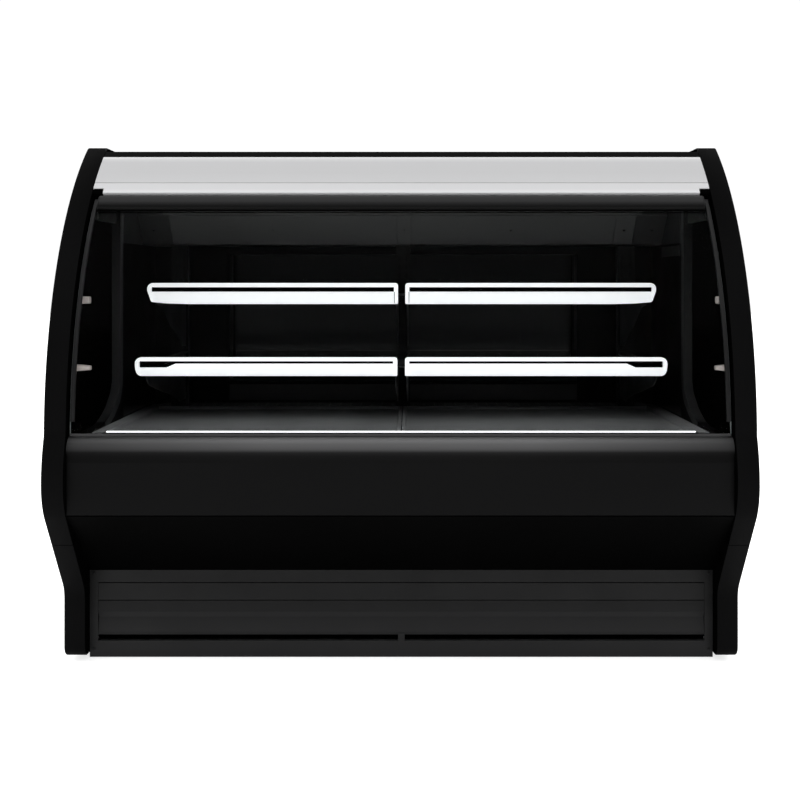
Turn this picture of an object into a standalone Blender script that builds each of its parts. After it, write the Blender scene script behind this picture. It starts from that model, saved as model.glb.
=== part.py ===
"""A refrigerated deli case: a curved-glass serve-over counter with two tiers of lit glass shelves.

The customer's side faces -Y and the staff side faces +Y.  The origin is on the floor, in the middle
of the footprint.  Depths are given from the front-most point of the case, and place() turns such a
depth into a Y coordinate.  Everything is in metres.
"""

from math import asin, cos, pi, radians, sin

import bmesh
import bpy
from mathutils import Matrix, Vector

# Driving dimensions of the whole case
WIDTH = 1.600
DEPTH = 1.050
HEIGHT = 1.246
PANEL = 0.050  # thickness of an end panel
GAP = 0.0003  # left between pieces that touch
INNER = WIDTH / 2 - PANEL  # half the width between the end panels
SPAN = INNER - GAP  # half the length of a piece that fills that width

# The curved front: one circle carries the end panels, the canopy and the glass
CURVE_DEPTH = 0.852
CURVE_HEIGHT = 0.544
PANEL_RADIUS = 0.830
SKIN_RADIUS = 0.829  # canopy and top rail lie just inside the end panels' edge
GLASS_RADIUS = 0.815
GLASS = 0.006
GLASS_HALF = 0.7445
NOTCH_FROM = 0.7245
GLASS_START = radians(1.1)
GLASS_END = radians(42.2)
RAIL_START = radians(40.9)
RAIL_END = radians(44.05)
CANOPY_START = radians(44.2)
CANOPY_NOTCH = radians(45.3)  # its lower corners are cut away for the glass stops
CANOPY_END = radians(54.6)

# Heights
PANEL_FOOT = 0.014
TRAY_LOW = 0.045
TRAY_FLANGE = 0.025
KICK_LOW = 0.003
KICK_HIGH = 0.2125
TUB_LOW = 0.3575
TUB_FRONT = 0.512
TUB_TOP = 0.546
TUB_FLOOR = 0.405
LEDGE = 0.5405  # step inside the tub that carries the deck
DECK = 0.553
BUMPER_TOP = 0.5575
HEADER_LOW = 1.008
TOP = 1.235

# Depths from the front-most point
FASCIA = 0.025
FASCIA_LOW = 0.382
KICK = 0.2335
DECK_FRONT = 0.160
DECK_REAR = 0.768
DECK_HALF = 0.6985
UPRIGHT_REAR = 0.800
WALL_FRONT = 0.905
WALL_REAR = 0.9745
TUB_REAR = 0.985
TOP_REAR = 1.030

# Sheet thicknesses
SHEET = 0.003
DOOR = 0.012
LINER = 0.021
LINER_IN = SPAN - LINER  # inner face of a side liner
BETWEEN = LINER_IN - GAP  # half the width between the side liners

# Shelves: depth of the front edge, bottom and top of the front rail, top of the slot, bracket foot
TIERS = {
    "upper": {"front": 0.340, "low": 0.850, "high": 0.9025, "slot": (0.8815, 0.8915), "foot": 0.725},
    "lower": {"front": 0.200, "low": 0.6815, "high": 0.7256, "slot": (0.7105, 0.7165), "foot": 0.575},
}
# Under edge of each bracket: distance from the upright, and the share of its full depth left below the shelf
BELLY = {
    "upper": ((0.330, 0.78), (0.214, 0.42), (0.116, 0.22), (0.075, 0.08), (0.057, 0.0)),
    "lower": ((0.499, 0.62), (0.330, 0.38), (0.214, 0.24), (0.111, 0.07), (0.085, 0.0)),
}
SHELF_END = 0.634
SHELF_MIDDLE = 0.009
SHELF = 0.008
RAIL = 0.014

# Rear doors
DOOR_HALF = 0.530
DOOR_OVERLAP = 0.015
DOOR_LOW = 0.5945
DOOR_HIGH = 1.0235
STILE = 0.020
TRACKS = {"left": 0.983, "right": 1.003}  # front face of each door's groove
GROOVE = 0.014
OPENING_HALF = 0.510

# Turning axes, as (depth, height)
GLASS_AXIS = (0.0402, 0.5650)
EVAPORATOR_FAN = (0.560, 0.470)
CONDENSER_FAN = (0.378, 0.190)
CONDENSER_X = -0.350
SWITCH_TILT = -8  # a rocker rests tipped to its off side


def place(depth):
    """The Y coordinate of a depth from the front-most point."""
    return depth - DEPTH / 2


def on_curve(radius, angle):
    """The (depth, height) of a point on the front circle, its angle up from horizontal."""
    return (CURVE_DEPTH - radius * cos(angle), CURVE_HEIGHT + radius * sin(angle))


def sweep(radius, start, end, steps):
    """Points along the front circle."""
    return [on_curve(radius, start + (end - start) * i / steps) for i in range(steps + 1)]


def arc(centre, radius, start, end, steps):
    """Points (depth, height) of any arc; angles in degrees, 0 to the rear and 90 up."""
    angles = [radians(start + (end - start) * i / steps) for i in range(steps + 1)]
    return [(centre[0] + radius * cos(a), centre[1] + radius * sin(a)) for a in angles]


# ---------------------------------------------------------------- helpers


def clear_scene():
    for old in list(bpy.data.objects):
        bpy.data.objects.remove(old, do_unlink=True)


def make_material(name, colour, roughness, metallic=0.0, alpha=1.0):
    material = bpy.data.materials.new(name)
    material.use_nodes = True
    shader = material.node_tree.nodes["Principled BSDF"]
    shader.inputs["Base Color"].default_value = (*colour, 1.0)
    shader.inputs["Roughness"].default_value = roughness
    shader.inputs["Metallic"].default_value = metallic
    shader.inputs["Alpha"].default_value = alpha
    return material


def make_empty(name, location):
    empty = bpy.data.objects.new(name, None)
    empty.location = location
    bpy.context.scene.collection.objects.link(empty)
    return empty


def finish(name, shape, material, origin=(0, 0, 0), parent=None, bevel=0.0):
    """Turns a bmesh in world coordinates into an object with its origin at the point given."""
    bmesh.ops.recalc_face_normals(shape, faces=shape.faces)
    bmesh.ops.translate(shape, verts=shape.verts, vec=-Vector(origin))
    mesh = bpy.data.meshes.new(name)
    shape.to_mesh(mesh)
    shape.free()
    mesh.shade_smooth()
    mesh.set_sharp_from_angle(angle=radians(35))
    mesh.materials.append(material)
    item = bpy.data.objects.new(name, mesh)
    item.location = origin
    bpy.context.scene.collection.objects.link(item)
    if parent is not None:
        item.parent = parent
        item.location = Vector(origin) - parent.location
    if bevel:
        rounding = item.modifiers.new("Rounding", "BEVEL")
        rounding.width = bevel
        rounding.segments = 2
        rounding.limit_method = "ANGLE"
        rounding.angle_limit = radians(40)
    return item


def prism(name, outline, x_low, x_high, material, **options):
    """A (depth, height) outline pushed along X."""
    shape = bmesh.new()
    corners = [shape.verts.new((x_low, place(depth), height)) for depth, height in outline]
    face = shape.faces.new(corners)
    pushed = bmesh.ops.extrude_face_region(shape, geom=[face])
    moved = [v for v in pushed["geom"] if isinstance(v, bmesh.types.BMVert)]
    bmesh.ops.translate(shape, verts=moved, vec=(x_high - x_low, 0, 0))
    return finish(name, shape, material, **options)


def plate(name, outline, depth_low, depth_high, material, **options):
    """An (x, height) outline pushed from the front to the rear."""
    shape = bmesh.new()
    corners = [shape.verts.new((x, place(depth_low), height)) for x, height in outline]
    face = shape.faces.new(corners)
    pushed = bmesh.ops.extrude_face_region(shape, geom=[face])
    moved = [v for v in pushed["geom"] if isinstance(v, bmesh.types.BMVert)]
    bmesh.ops.translate(shape, verts=moved, vec=(0, depth_high - depth_low, 0))
    return finish(name, shape, material, **options)


def block(name, x, depth, height, material, **options):
    """A box given by its (low, high) along X, depth and height."""
    outline = [(depth[0], height[0]), (depth[1], height[0]), (depth[1], height[1]), (depth[0], height[1])]
    return prism(name, outline, x[0], x[1], material, **options)


def turned(name, outline, centre, axis, material, steps=24, **options):
    """A (radius, along) outline, both ends on the axis, spun about X, Y or Z through the centre."""
    shape = bmesh.new()
    points = [shape.verts.new((radius, 0, along)) for radius, along in outline]
    edges = [shape.edges.new(pair) for pair in zip(points, points[1:])]
    bmesh.ops.spin(
        shape, geom=points + edges, axis=(0, 0, 1), cent=(0, 0, 0), angle=2 * pi, steps=steps, use_merge=True
    )
    bmesh.ops.remove_doubles(shape, verts=shape.verts, dist=1e-5)
    if axis == "X":
        shape.transform(Matrix.Rotation(pi / 2, 4, "Y"))
    if axis == "Y":
        shape.transform(Matrix.Rotation(-pi / 2, 4, "X"))
    bmesh.ops.translate(shape, verts=shape.verts, vec=centre)
    return finish(name, shape, material, **options)


def rod(name, centre, axis, radius, start, end, material, steps=24, **options):
    """A plain cylinder along an axis, between two distances from its centre."""
    outline = [(0, start), (radius, start), (radius, end), (0, end)]
    return turned(name, outline, centre, axis, material, steps, **options)


def combine(item, other, operation):
    """Cuts the other shape from the item, or joins it on; the other stays as a hidden helper."""
    other.hide_render = True
    other.display_type = "WIRE"
    boolean = item.modifiers.new(operation.title(), "BOOLEAN")
    boolean.operation = operation
    boolean.object = other
    return item


def cut(item, *cutters):
    for cutter in cutters:
        combine(item, cutter, "DIFFERENCE")
    return item


def join(item, *others):
    for other in others:
        combine(item, other, "UNION")
    return item


def sides():
    """The two ends of the case: a name and the sign of X."""
    return (("left", -1), ("right", 1))


def mirrored(sign, near, far):
    """The (low, high) of a stretch from near to far of the middle, on one side."""
    return tuple(sorted((sign * near, sign * far)))


def octagon(half_width, half_height, corner, x, height):
    """A rectangle with its corners cut, about a middle point."""
    w, h, c = half_width, half_height, corner
    lower = [(-w, -h + c), (-w + c, -h), (w - c, -h), (w, -h + c)]
    points = lower + [(-a, -b) for a, b in lower]
    return [(x + a, height + b) for a, b in points]


# ---------------------------------------------------------------- cabinet


def end_panel_outline():
    """Flat top and rear, the big circle in front, then a belly, an undercut and an upright foot."""
    top_angle = asin((HEIGHT - CURVE_HEIGHT) / PANEL_RADIUS)
    outline = [(DEPTH, PANEL_FOOT), (DEPTH, HEIGHT)]
    outline += sweep(PANEL_RADIUS, top_angle, radians(1.2), 22)
    outline += arc((0.276, 0.452), 0.276, 160.5, 180, 6)
    outline += arc((0.130, 0.452), 0.130, 189, 219.2, 5)
    outline += arc((0.130, 0.1529), 0.060, 39.2, 0, 5)
    outline += arc((0.216, PANEL_FOOT + 0.026), 0.026, 180, 270, 4)
    return outline


def make_end_panels(cabinet, steel):
    for side, sign in sides():
        low, high = mirrored(sign, INNER, WIDTH / 2)
        name = "end_panel_" + side
        panel = prism(name, end_panel_outline(), low, high, steel, parent=cabinet, bevel=0.005)
        axis = (sign * INNER, place(GLASS_AXIS[0]), GLASS_AXIS[1])
        cut(panel, rod(name + "_bush", axis, "X", 0.0045, -0.01, 0.01, steel))


def make_tub(cabinet, foam):
    """The insulated well under the deck: a thick trough with a step for the deck to rest on."""
    outline = [
        (0.029, 0.3925),
        (0.029, TUB_FRONT),
        (0.085, TUB_FRONT),
        (0.085, TUB_TOP),
        (TUB_REAR, TUB_TOP),
        (TUB_REAR, TUB_LOW),
        (0.080, TUB_LOW),
        (0.048, 0.3925),
    ]
    tub = prism("insulated_tub", outline, -SPAN, SPAN, foam, parent=cabinet)
    well = block("tub_well", (-0.680, 0.680), (0.0853, 0.885), (TUB_FLOOR, 0.700), foam)
    step = block("tub_step", (-0.700, 0.700), (0.0800, WALL_FRONT), (LEDGE, 0.700), foam)
    front = block("tub_front", (-0.680, 0.680), (0.0800, 0.0900), (TUB_FRONT, 0.700), foam)
    cut(tub, well, step, front)


def make_base(cabinet, steel, rubber):
    """A plate with its edges folded down, on four levelling feet."""
    half, height = SPAN - 0.001, (TRAY_FLANGE, TRAY_LOW + SHEET)
    tray = block("base_tray", (-half, half), (0.250, 0.975), height, steel, parent=cabinet)
    cut(tray, block("tray_underside", (-0.7455, 0.7455), (0.253, 0.972), (0, TRAY_LOW), steel))
    pad, stem = 0.024, 0.006
    for number, (x, depth) in enumerate([(-0.66, 0.33), (0.66, 0.33), (-0.66, 0.93), (0.66, 0.93)], 1):
        outline = [(0, 0), (pad, 0), (pad, 0.008), (0.014, 0.014), (stem, 0.014), (stem, 0.0447), (0, 0.0447)]
        centre = (x, place(depth), 0)
        turned("levelling_foot_%d" % number, outline, centre, "Z", rubber, 16, origin=centre, parent=cabinet)


def make_bumper(cabinet, steel):
    """The folded front sheet: a ledge under the glass, a rounded nose and an upright face."""
    nose = (0.061, BUMPER_TOP - 0.036)
    outline = [(0.0847, TUB_FRONT + GAP), (0.0847, BUMPER_TOP)]
    outline += arc(nose, 0.036, 90, 180, 8)
    outline += [(FASCIA, FASCIA_LOW), (0.045, FASCIA_LOW)]
    outline += [(0.045, FASCIA_LOW + SHEET), (FASCIA + SHEET, FASCIA_LOW + SHEET)]
    outline += arc(nose, 0.036 - SHEET, 180, 90, 8)
    outline += [(0.0817, BUMPER_TOP - SHEET), (0.0817, TUB_FRONT + GAP)]
    prism("front_bumper", outline, -SPAN, SPAN, steel, parent=cabinet)


def make_undercut(cabinet, steel):
    """The sloping sheet between the bumper and the kick grille."""
    top, foot = Vector((0.0262, FASCIA_LOW - 0.0028)), Vector((0.2327, 0.2135))
    along = (foot - top).normalized()
    inward = Vector((-along.y, along.x)) * SHEET
    outline = [tuple(top), tuple(foot), tuple(foot + inward), tuple(top + inward)]
    prism("undercut_panel", outline, -SPAN, SPAN, steel, parent=cabinet)


def make_kick_grille(cabinet, steel):
    grille = block(
        "kick_grille", (-SPAN, SPAN), (KICK, KICK + 0.012), (KICK_LOW, KICK_HIGH), steel, parent=cabinet
    )
    for side, sign in sides():
        span = mirrored(sign, 0.008, 0.733)
        slot = block("kick_slot_" + side, span, (KICK - 0.01, KICK + 0.02), (0.042, 0.054), steel)
        cut(grille, slot)
    for number, height in enumerate((0.138, 0.183)):
        groove = block(
            "kick_groove_%d" % number, (-1, 1), (KICK - 0.01, KICK + 0.002), (height, height + 0.0025), steel
        )
        cut(grille, groove)


def make_top(cabinet, steel, silver, black):
    fold = 1.2213
    top_outline = [
        (0.3745, fold),
        (0.3945, TOP),
        (TOP_REAR, TOP),
        (TOP_REAR, 1.012),
        (TOP_REAR - SHEET, 1.012),
        (TOP_REAR - SHEET, TOP - SHEET),
        (0.3955, TOP - SHEET),
        (0.3800, fold),
    ]
    prism("top_panel", top_outline, -SPAN, SPAN, steel, parent=cabinet)

    lip = radians(0.35)
    inner, tip = SKIN_RADIUS - 0.004, SKIN_RADIUS - 0.022
    canopy_outline = sweep(SKIN_RADIUS, CANOPY_START, CANOPY_END, 8)
    canopy_outline += sweep(inner, CANOPY_END, CANOPY_START + lip, 8)
    canopy_outline += [on_curve(tip, CANOPY_START + lip), on_curve(tip, CANOPY_START)]
    canopy = prism("canopy_panel", canopy_outline, -SPAN, SPAN, silver, parent=cabinet)
    corner = [on_curve(0.9, CANOPY_START - 0.02), on_curve(0.9, CANOPY_NOTCH)]
    corner += [on_curve(0.7, CANOPY_NOTCH), on_curve(0.7, CANOPY_START - 0.02)]
    for side, sign in sides():
        cut(canopy, prism("canopy_corner_" + side, corner, *mirrored(sign, NOTCH_FROM, 0.8), silver))

    wall = 0.004
    face = [(0.640, 1.105), (0.650, 1.090), (0.738, HEADER_LOW)]
    back = [(0.740, HEADER_LOW + wall), (0.653, 1.0935), (0.640 + wall, 1.107)]
    roof = TOP - SHEET - GAP
    header_outline = [(0.640, roof)] + face + [(WALL_REAR, HEADER_LOW), (WALL_REAR, roof)]
    header_outline += [(WALL_REAR - wall, roof), (WALL_REAR - wall, HEADER_LOW + wall)]
    header_outline += back + [(0.640 + wall, roof)]
    prism("header_duct", header_outline, -BETWEEN, BETWEEN, black, parent=cabinet)


def make_side_liners(cabinet, black):
    """Inner skins of the ends: upright at the rear half, sweeping down to the deck in front."""
    low = TUB_TOP + GAP
    outline = [(0.086, low), (0.086, 0.5555), (0.255, 0.5555)]
    outline += [(0.320, 0.566), (0.385, 0.588)]
    outline += arc((0.397, 0.665), 0.060, -60, 0, 5)
    roof = TOP - SHEET - GAP
    outline += [(0.457, roof), (WALL_REAR, roof), (WALL_REAR, low)]
    for side, sign in sides():
        x_low, x_high = mirrored(sign, LINER_IN, SPAN)
        prism("side_liner_" + side, outline, x_low, x_high, black, parent=cabinet)


# ---------------------------------------------------------------- rear wall and doors


def make_rear_wall(cabinet, black, steel):
    height = (TUB_TOP + GAP, HEADER_LOW - GAP)
    wall = block("rear_wall", (-BETWEEN, BETWEEN), (WALL_FRONT, WALL_REAR), height, black, parent=cabinet)
    opening = block("rear_opening", (-OPENING_HALF, OPENING_HALF), (0.8, 1.1), (0.615, 0.985), black)
    cut(wall, opening)

    first, second = TRACKS["left"], TRACKS["right"]
    outer = second + GROOVE + 0.0065
    floor, lip = DOOR_LOW - 0.001, DOOR_LOW + 0.009
    lower = [
        (WALL_REAR + 0.002, TUB_TOP + GAP),
        (1.040, TUB_TOP + GAP),
        (1.040, TUB_TOP + 0.040),
        (outer, floor - 0.003),
        (outer, lip),
        (second + GROOVE, lip),
        (second + GROOVE, floor),
        (second, floor),
        (second, lip),
        (first + GROOVE, lip),
        (first + GROOVE, floor),
        (first, floor),
        (first, lip),
        (WALL_REAR + 0.002, lip),
    ]
    prism("door_track_lower", lower, -SPAN, SPAN, steel, parent=cabinet)

    roof, brow = DOOR_HIGH + 0.011, DOOR_HIGH - 0.009
    upper = [
        (WALL_REAR + GAP, roof + 0.003),
        (WALL_REAR + GAP, brow),
        (first, brow),
        (first, roof),
        (first + GROOVE, roof),
        (first + GROOVE, brow),
        (second, brow),
        (second, roof),
        (second + GROOVE, roof),
        (second + GROOVE, brow),
        (outer, brow),
        (outer, roof + 0.003),
    ]
    prism("door_track_upper", upper, -SPAN, SPAN, steel, parent=cabinet)


def make_rear_doors(cabinet, black, tinted):
    """Each door: an aluminium frame with a finger ledge, and its pane, on a slide of its own."""
    height = (DOOR_LOW, DOOR_HIGH)
    for side, sign in sides():
        depth = TRACKS[side] + (GROOVE - DOOR) / 2
        span = mirrored(sign, -DOOR_OVERLAP, DOOR_HALF)
        middle = (sum(span) / 2, place(depth + DOOR / 2), sum(height) / 2)
        slide = make_empty("rear_door_" + side + "_slide", middle)
        slide.parent = cabinet
        frame = block(
            "rear_door_frame_" + side, span, (depth, depth + DOOR), height, black, origin=middle, parent=slide
        )
        hole_span = (span[0] + STILE, span[1] - STILE)
        hole_height = (height[0] + STILE, height[1] - STILE)
        hole = block("door_hole_" + side, hole_span, (depth - 0.01, depth + DOOR + 0.01), hole_height, black)
        edge = DOOR_HALF - 0.011
        pull_span = mirrored(sign, edge - 0.007, edge)
        pull = block(
            "door_pull_" + side, pull_span, (depth + DOOR - 0.002, depth + DOOR + 0.005), (0.74, 0.86), black
        )
        cut(frame, hole)
        join(frame, pull)
        pane_span = (hole_span[0] + GAP, hole_span[1] - GAP)
        pane_height = (hole_height[0] + GAP, hole_height[1] - GAP)
        pane = (depth + DOOR / 2 - 0.0025, depth + DOOR / 2 + 0.0025)
        block("rear_door_glass_" + side, pane_span, pane, pane_height, tinted, origin=middle, parent=slide)


# ---------------------------------------------------------------- shelves


UPRIGHTS = {"left": (-0.632, 0.048), "centre": (0.0, 0.040), "right": (0.632, 0.048)}


def make_uprights(cabinet, steel):
    for place_name, (x, width) in UPRIGHTS.items():
        block(
            "upright_" + place_name,
            (x - width / 2, x + width / 2),
            (DECK_REAR + 0.002, UPRIGHT_REAR),
            (TUB_FLOOR + GAP, HEADER_LOW - GAP),
            steel,
            parent=cabinet,
        )


def make_brackets(cabinet, steel):
    """Tapered cantilever arms, deep at the upright and shallow under the front rail."""
    rear = DECK_REAR + 0.002 - GAP
    for tier, size in TIERS.items():
        top = size["slot"][0] - SHELF - GAP
        front = size["front"] + RAIL + 0.010
        foot = size["foot"]
        outline = [(front, top), (front, top - 0.018), (front + 0.012, top - 0.026)]
        outline += [(rear - reach, foot + (top - foot) * share) for reach, share in BELLY[tier]]
        outline += [(rear, foot), (rear, top)]
        for place_name, (x, width) in UPRIGHTS.items():
            half = 0.015 if place_name == "centre" else 0.003
            middle = x * (1 - 0.016 / 0.632)
            name = "bracket_%s_%s" % (tier, place_name)
            prism(name, outline, middle - half, middle + half, steel, parent=cabinet)


def make_shelves(cabinet, clear, white):
    """Four half-width shelves: a glass pane behind a slotted front rail that lights up."""
    for tier, size in TIERS.items():
        front, pane_top = size["front"], size["slot"][0]
        middle_height = (size["low"] + size["high"]) / 2
        half_height = (size["high"] - size["low"]) / 2
        for side, sign in sides():
            span = mirrored(sign, SHELF_MIDDLE, SHELF_END)
            middle = sum(span) / 2
            half = (span[1] - span[0]) / 2
            name = "shelf_rail_%s_%s" % (tier, side)
            outline = octagon(half, half_height, 0.007, middle, middle_height)
            rail = plate(name, outline, front, front + RAIL, white, parent=cabinet)
            slot_span = (span[0] + 0.010, span[1] - 0.010)
            slot = block(name + "_slot", slot_span, (front - 0.01, front + 0.009), size["slot"], white)
            cut(rail, slot)
            block(
                "shelf_%s_%s" % (tier, side),
                (span[0] + 0.002, span[1] - 0.002),
                (front + RAIL + GAP, DECK_REAR - 0.002),
                (pane_top - SHELF, pane_top),
                clear,
                parent=cabinet,
            )


def make_deck(cabinet, steel, black):
    for side, sign in sides():
        span, height = mirrored(sign, 0.001, DECK_HALF), (LEDGE + GAP, DECK)
        deck = block("deck_pan_" + side, span, (DECK_FRONT, DECK_REAR), height, steel, parent=cabinet)
        dish_span = (span[0] + 0.008, span[1] - 0.008)
        dish_depth = (DECK_FRONT + 0.012, DECK_REAR - 0.012)
        cut(deck, block("deck_dish_" + side, dish_span, dish_depth, (LEDGE + 0.004, 0.6), steel))
    span, depth = (-DECK_HALF, DECK_HALF), (0.0850, DECK_FRONT - GAP)
    grille = block("return_air_grille", span, depth, (LEDGE + GAP, DECK), black, parent=cabinet)
    for side, sign in sides():
        for number, depth in enumerate((0.094, 0.110, 0.126, 0.142)):
            span = mirrored(sign, 0.008, 0.685)
            cutter = block("air_slot_%s_%d" % (side, number), span, (depth, depth + 0.009), (0.5, 0.6), black)
            cut(grille, cutter)


# ---------------------------------------------------------------- front glass


def make_front_glass(cabinet, clear, grey, black):
    """The curved pane tips forward about its lower edge on a pin at each end."""
    axis = (0, place(GLASS_AXIS[0]), GLASS_AXIS[1])
    hinge = make_empty("front_glass_hinge", axis)
    hinge.parent = cabinet
    inner = GLASS_RADIUS - GLASS
    outline = sweep(GLASS_RADIUS, GLASS_START, GLASS_END, 24) + sweep(inner, GLASS_END, GLASS_START, 24)
    prism("front_glass", outline, -GLASS_HALF, GLASS_HALF, clear, origin=axis, parent=hinge)

    out, back = SKIN_RADIUS, GLASS_RADIUS - GLASS - 0.010
    slot_end = GLASS_END + radians(0.15)
    rail_outline = [on_curve(GLASS_RADIUS + GAP, RAIL_START)]
    rail_outline += [on_curve(out - 0.004, RAIL_START)]
    rail_outline += sweep(out, RAIL_START + radians(0.3), RAIL_END - radians(0.3), 4)
    rail_outline += [on_curve(out - 0.004, RAIL_END), on_curve(back, RAIL_END), on_curve(back, RAIL_START)]
    rail_outline += [on_curve(inner - GAP, RAIL_START), on_curve(inner - GAP, slot_end)]
    rail_outline += [on_curve(GLASS_RADIUS + GAP, slot_end)]
    prism("glass_top_rail", rail_outline, -0.738, 0.738, grey, origin=axis, parent=hinge)

    for side, sign in sides():
        low, high = radians(1.3), radians(3.2)
        end = GLASS_HALF + GAP
        near = inner - 0.010
        pad, ear = [
            [on_curve(near, low), on_curve(far, low), on_curve(far, high), on_curve(near, high)]
            for far in (inner - GAP, GLASS_RADIUS + 0.0015)
        ]
        name = "glass_pivot_" + side
        pivot = prism(name, pad, *mirrored(sign, 0.722, end + 0.002), black, origin=axis, parent=hinge)
        lug = prism(name + "_lug", ear, *mirrored(sign, end, end + 0.0035), black)
        along = sorted((sign * (end + 0.001), sign * (INNER + 0.007)))
        pin = rod(name + "_pin", axis, "X", 0.0040, along[0], along[1], black, 16)
        join(pivot, lug, pin)


# ---------------------------------------------------------------- cooling


def make_blades(name, centre, hub, tip, start, end, count, material, origin, parent):
    """A fan that turns about Y: a hub with pitched blades joined on."""
    fan = rod(name, centre, "Y", hub, start, end, material, 20, origin=origin, parent=parent)
    middle = (start + end) / 2
    for number in range(count):
        shape = bmesh.new()
        bmesh.ops.create_cube(shape, size=1)
        chord, thick = (tip + hub) * 0.42, 0.003
        bmesh.ops.scale(shape, verts=shape.verts, vec=(tip - hub * 0.7, thick, chord))
        shape.transform(Matrix.Rotation(radians(24), 4, "X"))
        bmesh.ops.translate(shape, verts=shape.verts, vec=((tip + hub * 0.7) / 2, middle, 0))
        shape.transform(Matrix.Rotation(2 * pi * number / count, 4, "Y"))
        bmesh.ops.translate(shape, verts=shape.verts, vec=centre)
        join(fan, finish("%s_blade_%d" % (name, number), shape, material))
    return fan


def make_shroud(name, centre, half, hole, depth_low, ring, height_span, motor, material, parent):
    """A square plate with a round opening and a ring, and a motor held behind it on three arms."""
    x = centre[0]
    foot, top = height_span
    outline = [(x - half, foot), (x + half, foot), (x + half, top), (x - half, top)]
    shroud = plate(name, outline, depth_low, depth_low + SHEET, material, parent=parent)
    start = place(depth_low) - centre[1]
    collar = rod(name + "_collar", centre, "Y", hole + 0.003, start + 0.001, start + ring, material, 32)
    bore = rod(name + "_bore", centre, "Y", hole, start - 0.01, start + ring + 0.01, material, 32)
    join(shroud, collar)
    cut(shroud, bore)
    can = rod(name + "_motor", centre, "Y", motor, start + ring - 0.004, start + ring + 0.040, material, 20)
    join(shroud, can)
    for number in range(3):
        shape = bmesh.new()
        bmesh.ops.create_cube(shape, size=1)
        near, far = motor * 0.5, hole + 0.001
        bmesh.ops.scale(shape, verts=shape.verts, vec=(far - near, 0.004, 0.010))
        bmesh.ops.translate(shape, verts=shape.verts, vec=((near + far) / 2, start + ring - 0.0032, 0))
        shape.transform(Matrix.Rotation(radians(90 + 120 * number), 4, "Y"))
        bmesh.ops.translate(shape, verts=shape.verts, vec=centre)
        join(shroud, finish("%s_arm_%d" % (name, number), shape, material))
    return shroud


def make_evaporator(cabinet, aluminium, plastic):
    height = (TUB_FLOOR + GAP, 0.520)
    coil = block("evaporator_coil", (-0.500, 0.500), (0.300, 0.500), height, aluminium, parent=cabinet)
    for number in range(9):
        x = -0.400 + 0.100 * number
        name = "evaporator_groove_%d" % number
        cut(coil, block(name, (x - 0.008, x + 0.008), (0.2, 0.6), (0.425, 0.6), aluminium))
    centre = (0, place(EVAPORATOR_FAN[0]), EVAPORATOR_FAN[1])
    hub = make_empty("evaporator_fan_axis", centre)
    hub.parent = cabinet
    make_blades("evaporator_fan", centre, 0.016, 0.050, -0.010, 0.008, 5, plastic, centre, hub)
    front = EVAPORATOR_FAN[0] - 0.016
    plate_height = (TUB_FLOOR + GAP, 0.532)
    name = "evaporator_fan_shroud"
    make_shroud(name, centre, 0.120, 0.054, front, 0.031, plate_height, 0.022, aluminium, cabinet)


def make_condensing_unit(cabinet, aluminium, black, steel, plastic):
    floor = TRAY_LOW + SHEET + GAP
    compressor_at = (0.380, place(0.760), 0)
    profile = [(0, 0), (0.090, 0), (0.090, 0.006), (0.076, 0.012), (0.079, 0.060), (0.082, 0.066)]
    profile += [(0.082, 0.074), (0.079, 0.080), (0.077, 0.150), (0.060, 0.182), (0.030, 0.194), (0, 0.196)]
    outline = [(radius, floor + height) for radius, height in profile]
    turned("compressor", outline, compressor_at, "Z", black, 28, origin=compressor_at, parent=cabinet)

    span = (CONDENSER_X - 0.180, CONDENSER_X + 0.180)
    coil = block("condenser_coil", span, (0.290, 0.345), (floor, 0.335), aluminium, parent=cabinet)
    for number in range(8):
        x = span[0] + 0.040 + 0.040 * number
        name = "condenser_groove_%d" % number
        cut(coil, block(name, (x - 0.005, x + 0.005), (0.3, 0.4), (0.070, 0.320), aluminium))

    centre = (CONDENSER_X, place(CONDENSER_FAN[0]), CONDENSER_FAN[1])
    hub = make_empty("condenser_fan_axis", centre)
    hub.parent = cabinet
    make_blades("condenser_fan", centre, 0.030, 0.115, -0.015, 0.015, 5, plastic, centre, hub)
    name = "condenser_fan_shroud"
    make_shroud(name, centre, 0.170, 0.120, 0.347, 0.056, (floor, 0.340), 0.036, black, cabinet)

    pan = block("drain_pan", (-0.600, -0.140), (0.620, 0.930), (floor, 0.100), steel, parent=cabinet)
    dish = block("drain_pan_dish", (-0.597, -0.143), (0.623, 0.927), (floor + 0.003, 0.2), steel)
    cut(pan, dish)


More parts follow.
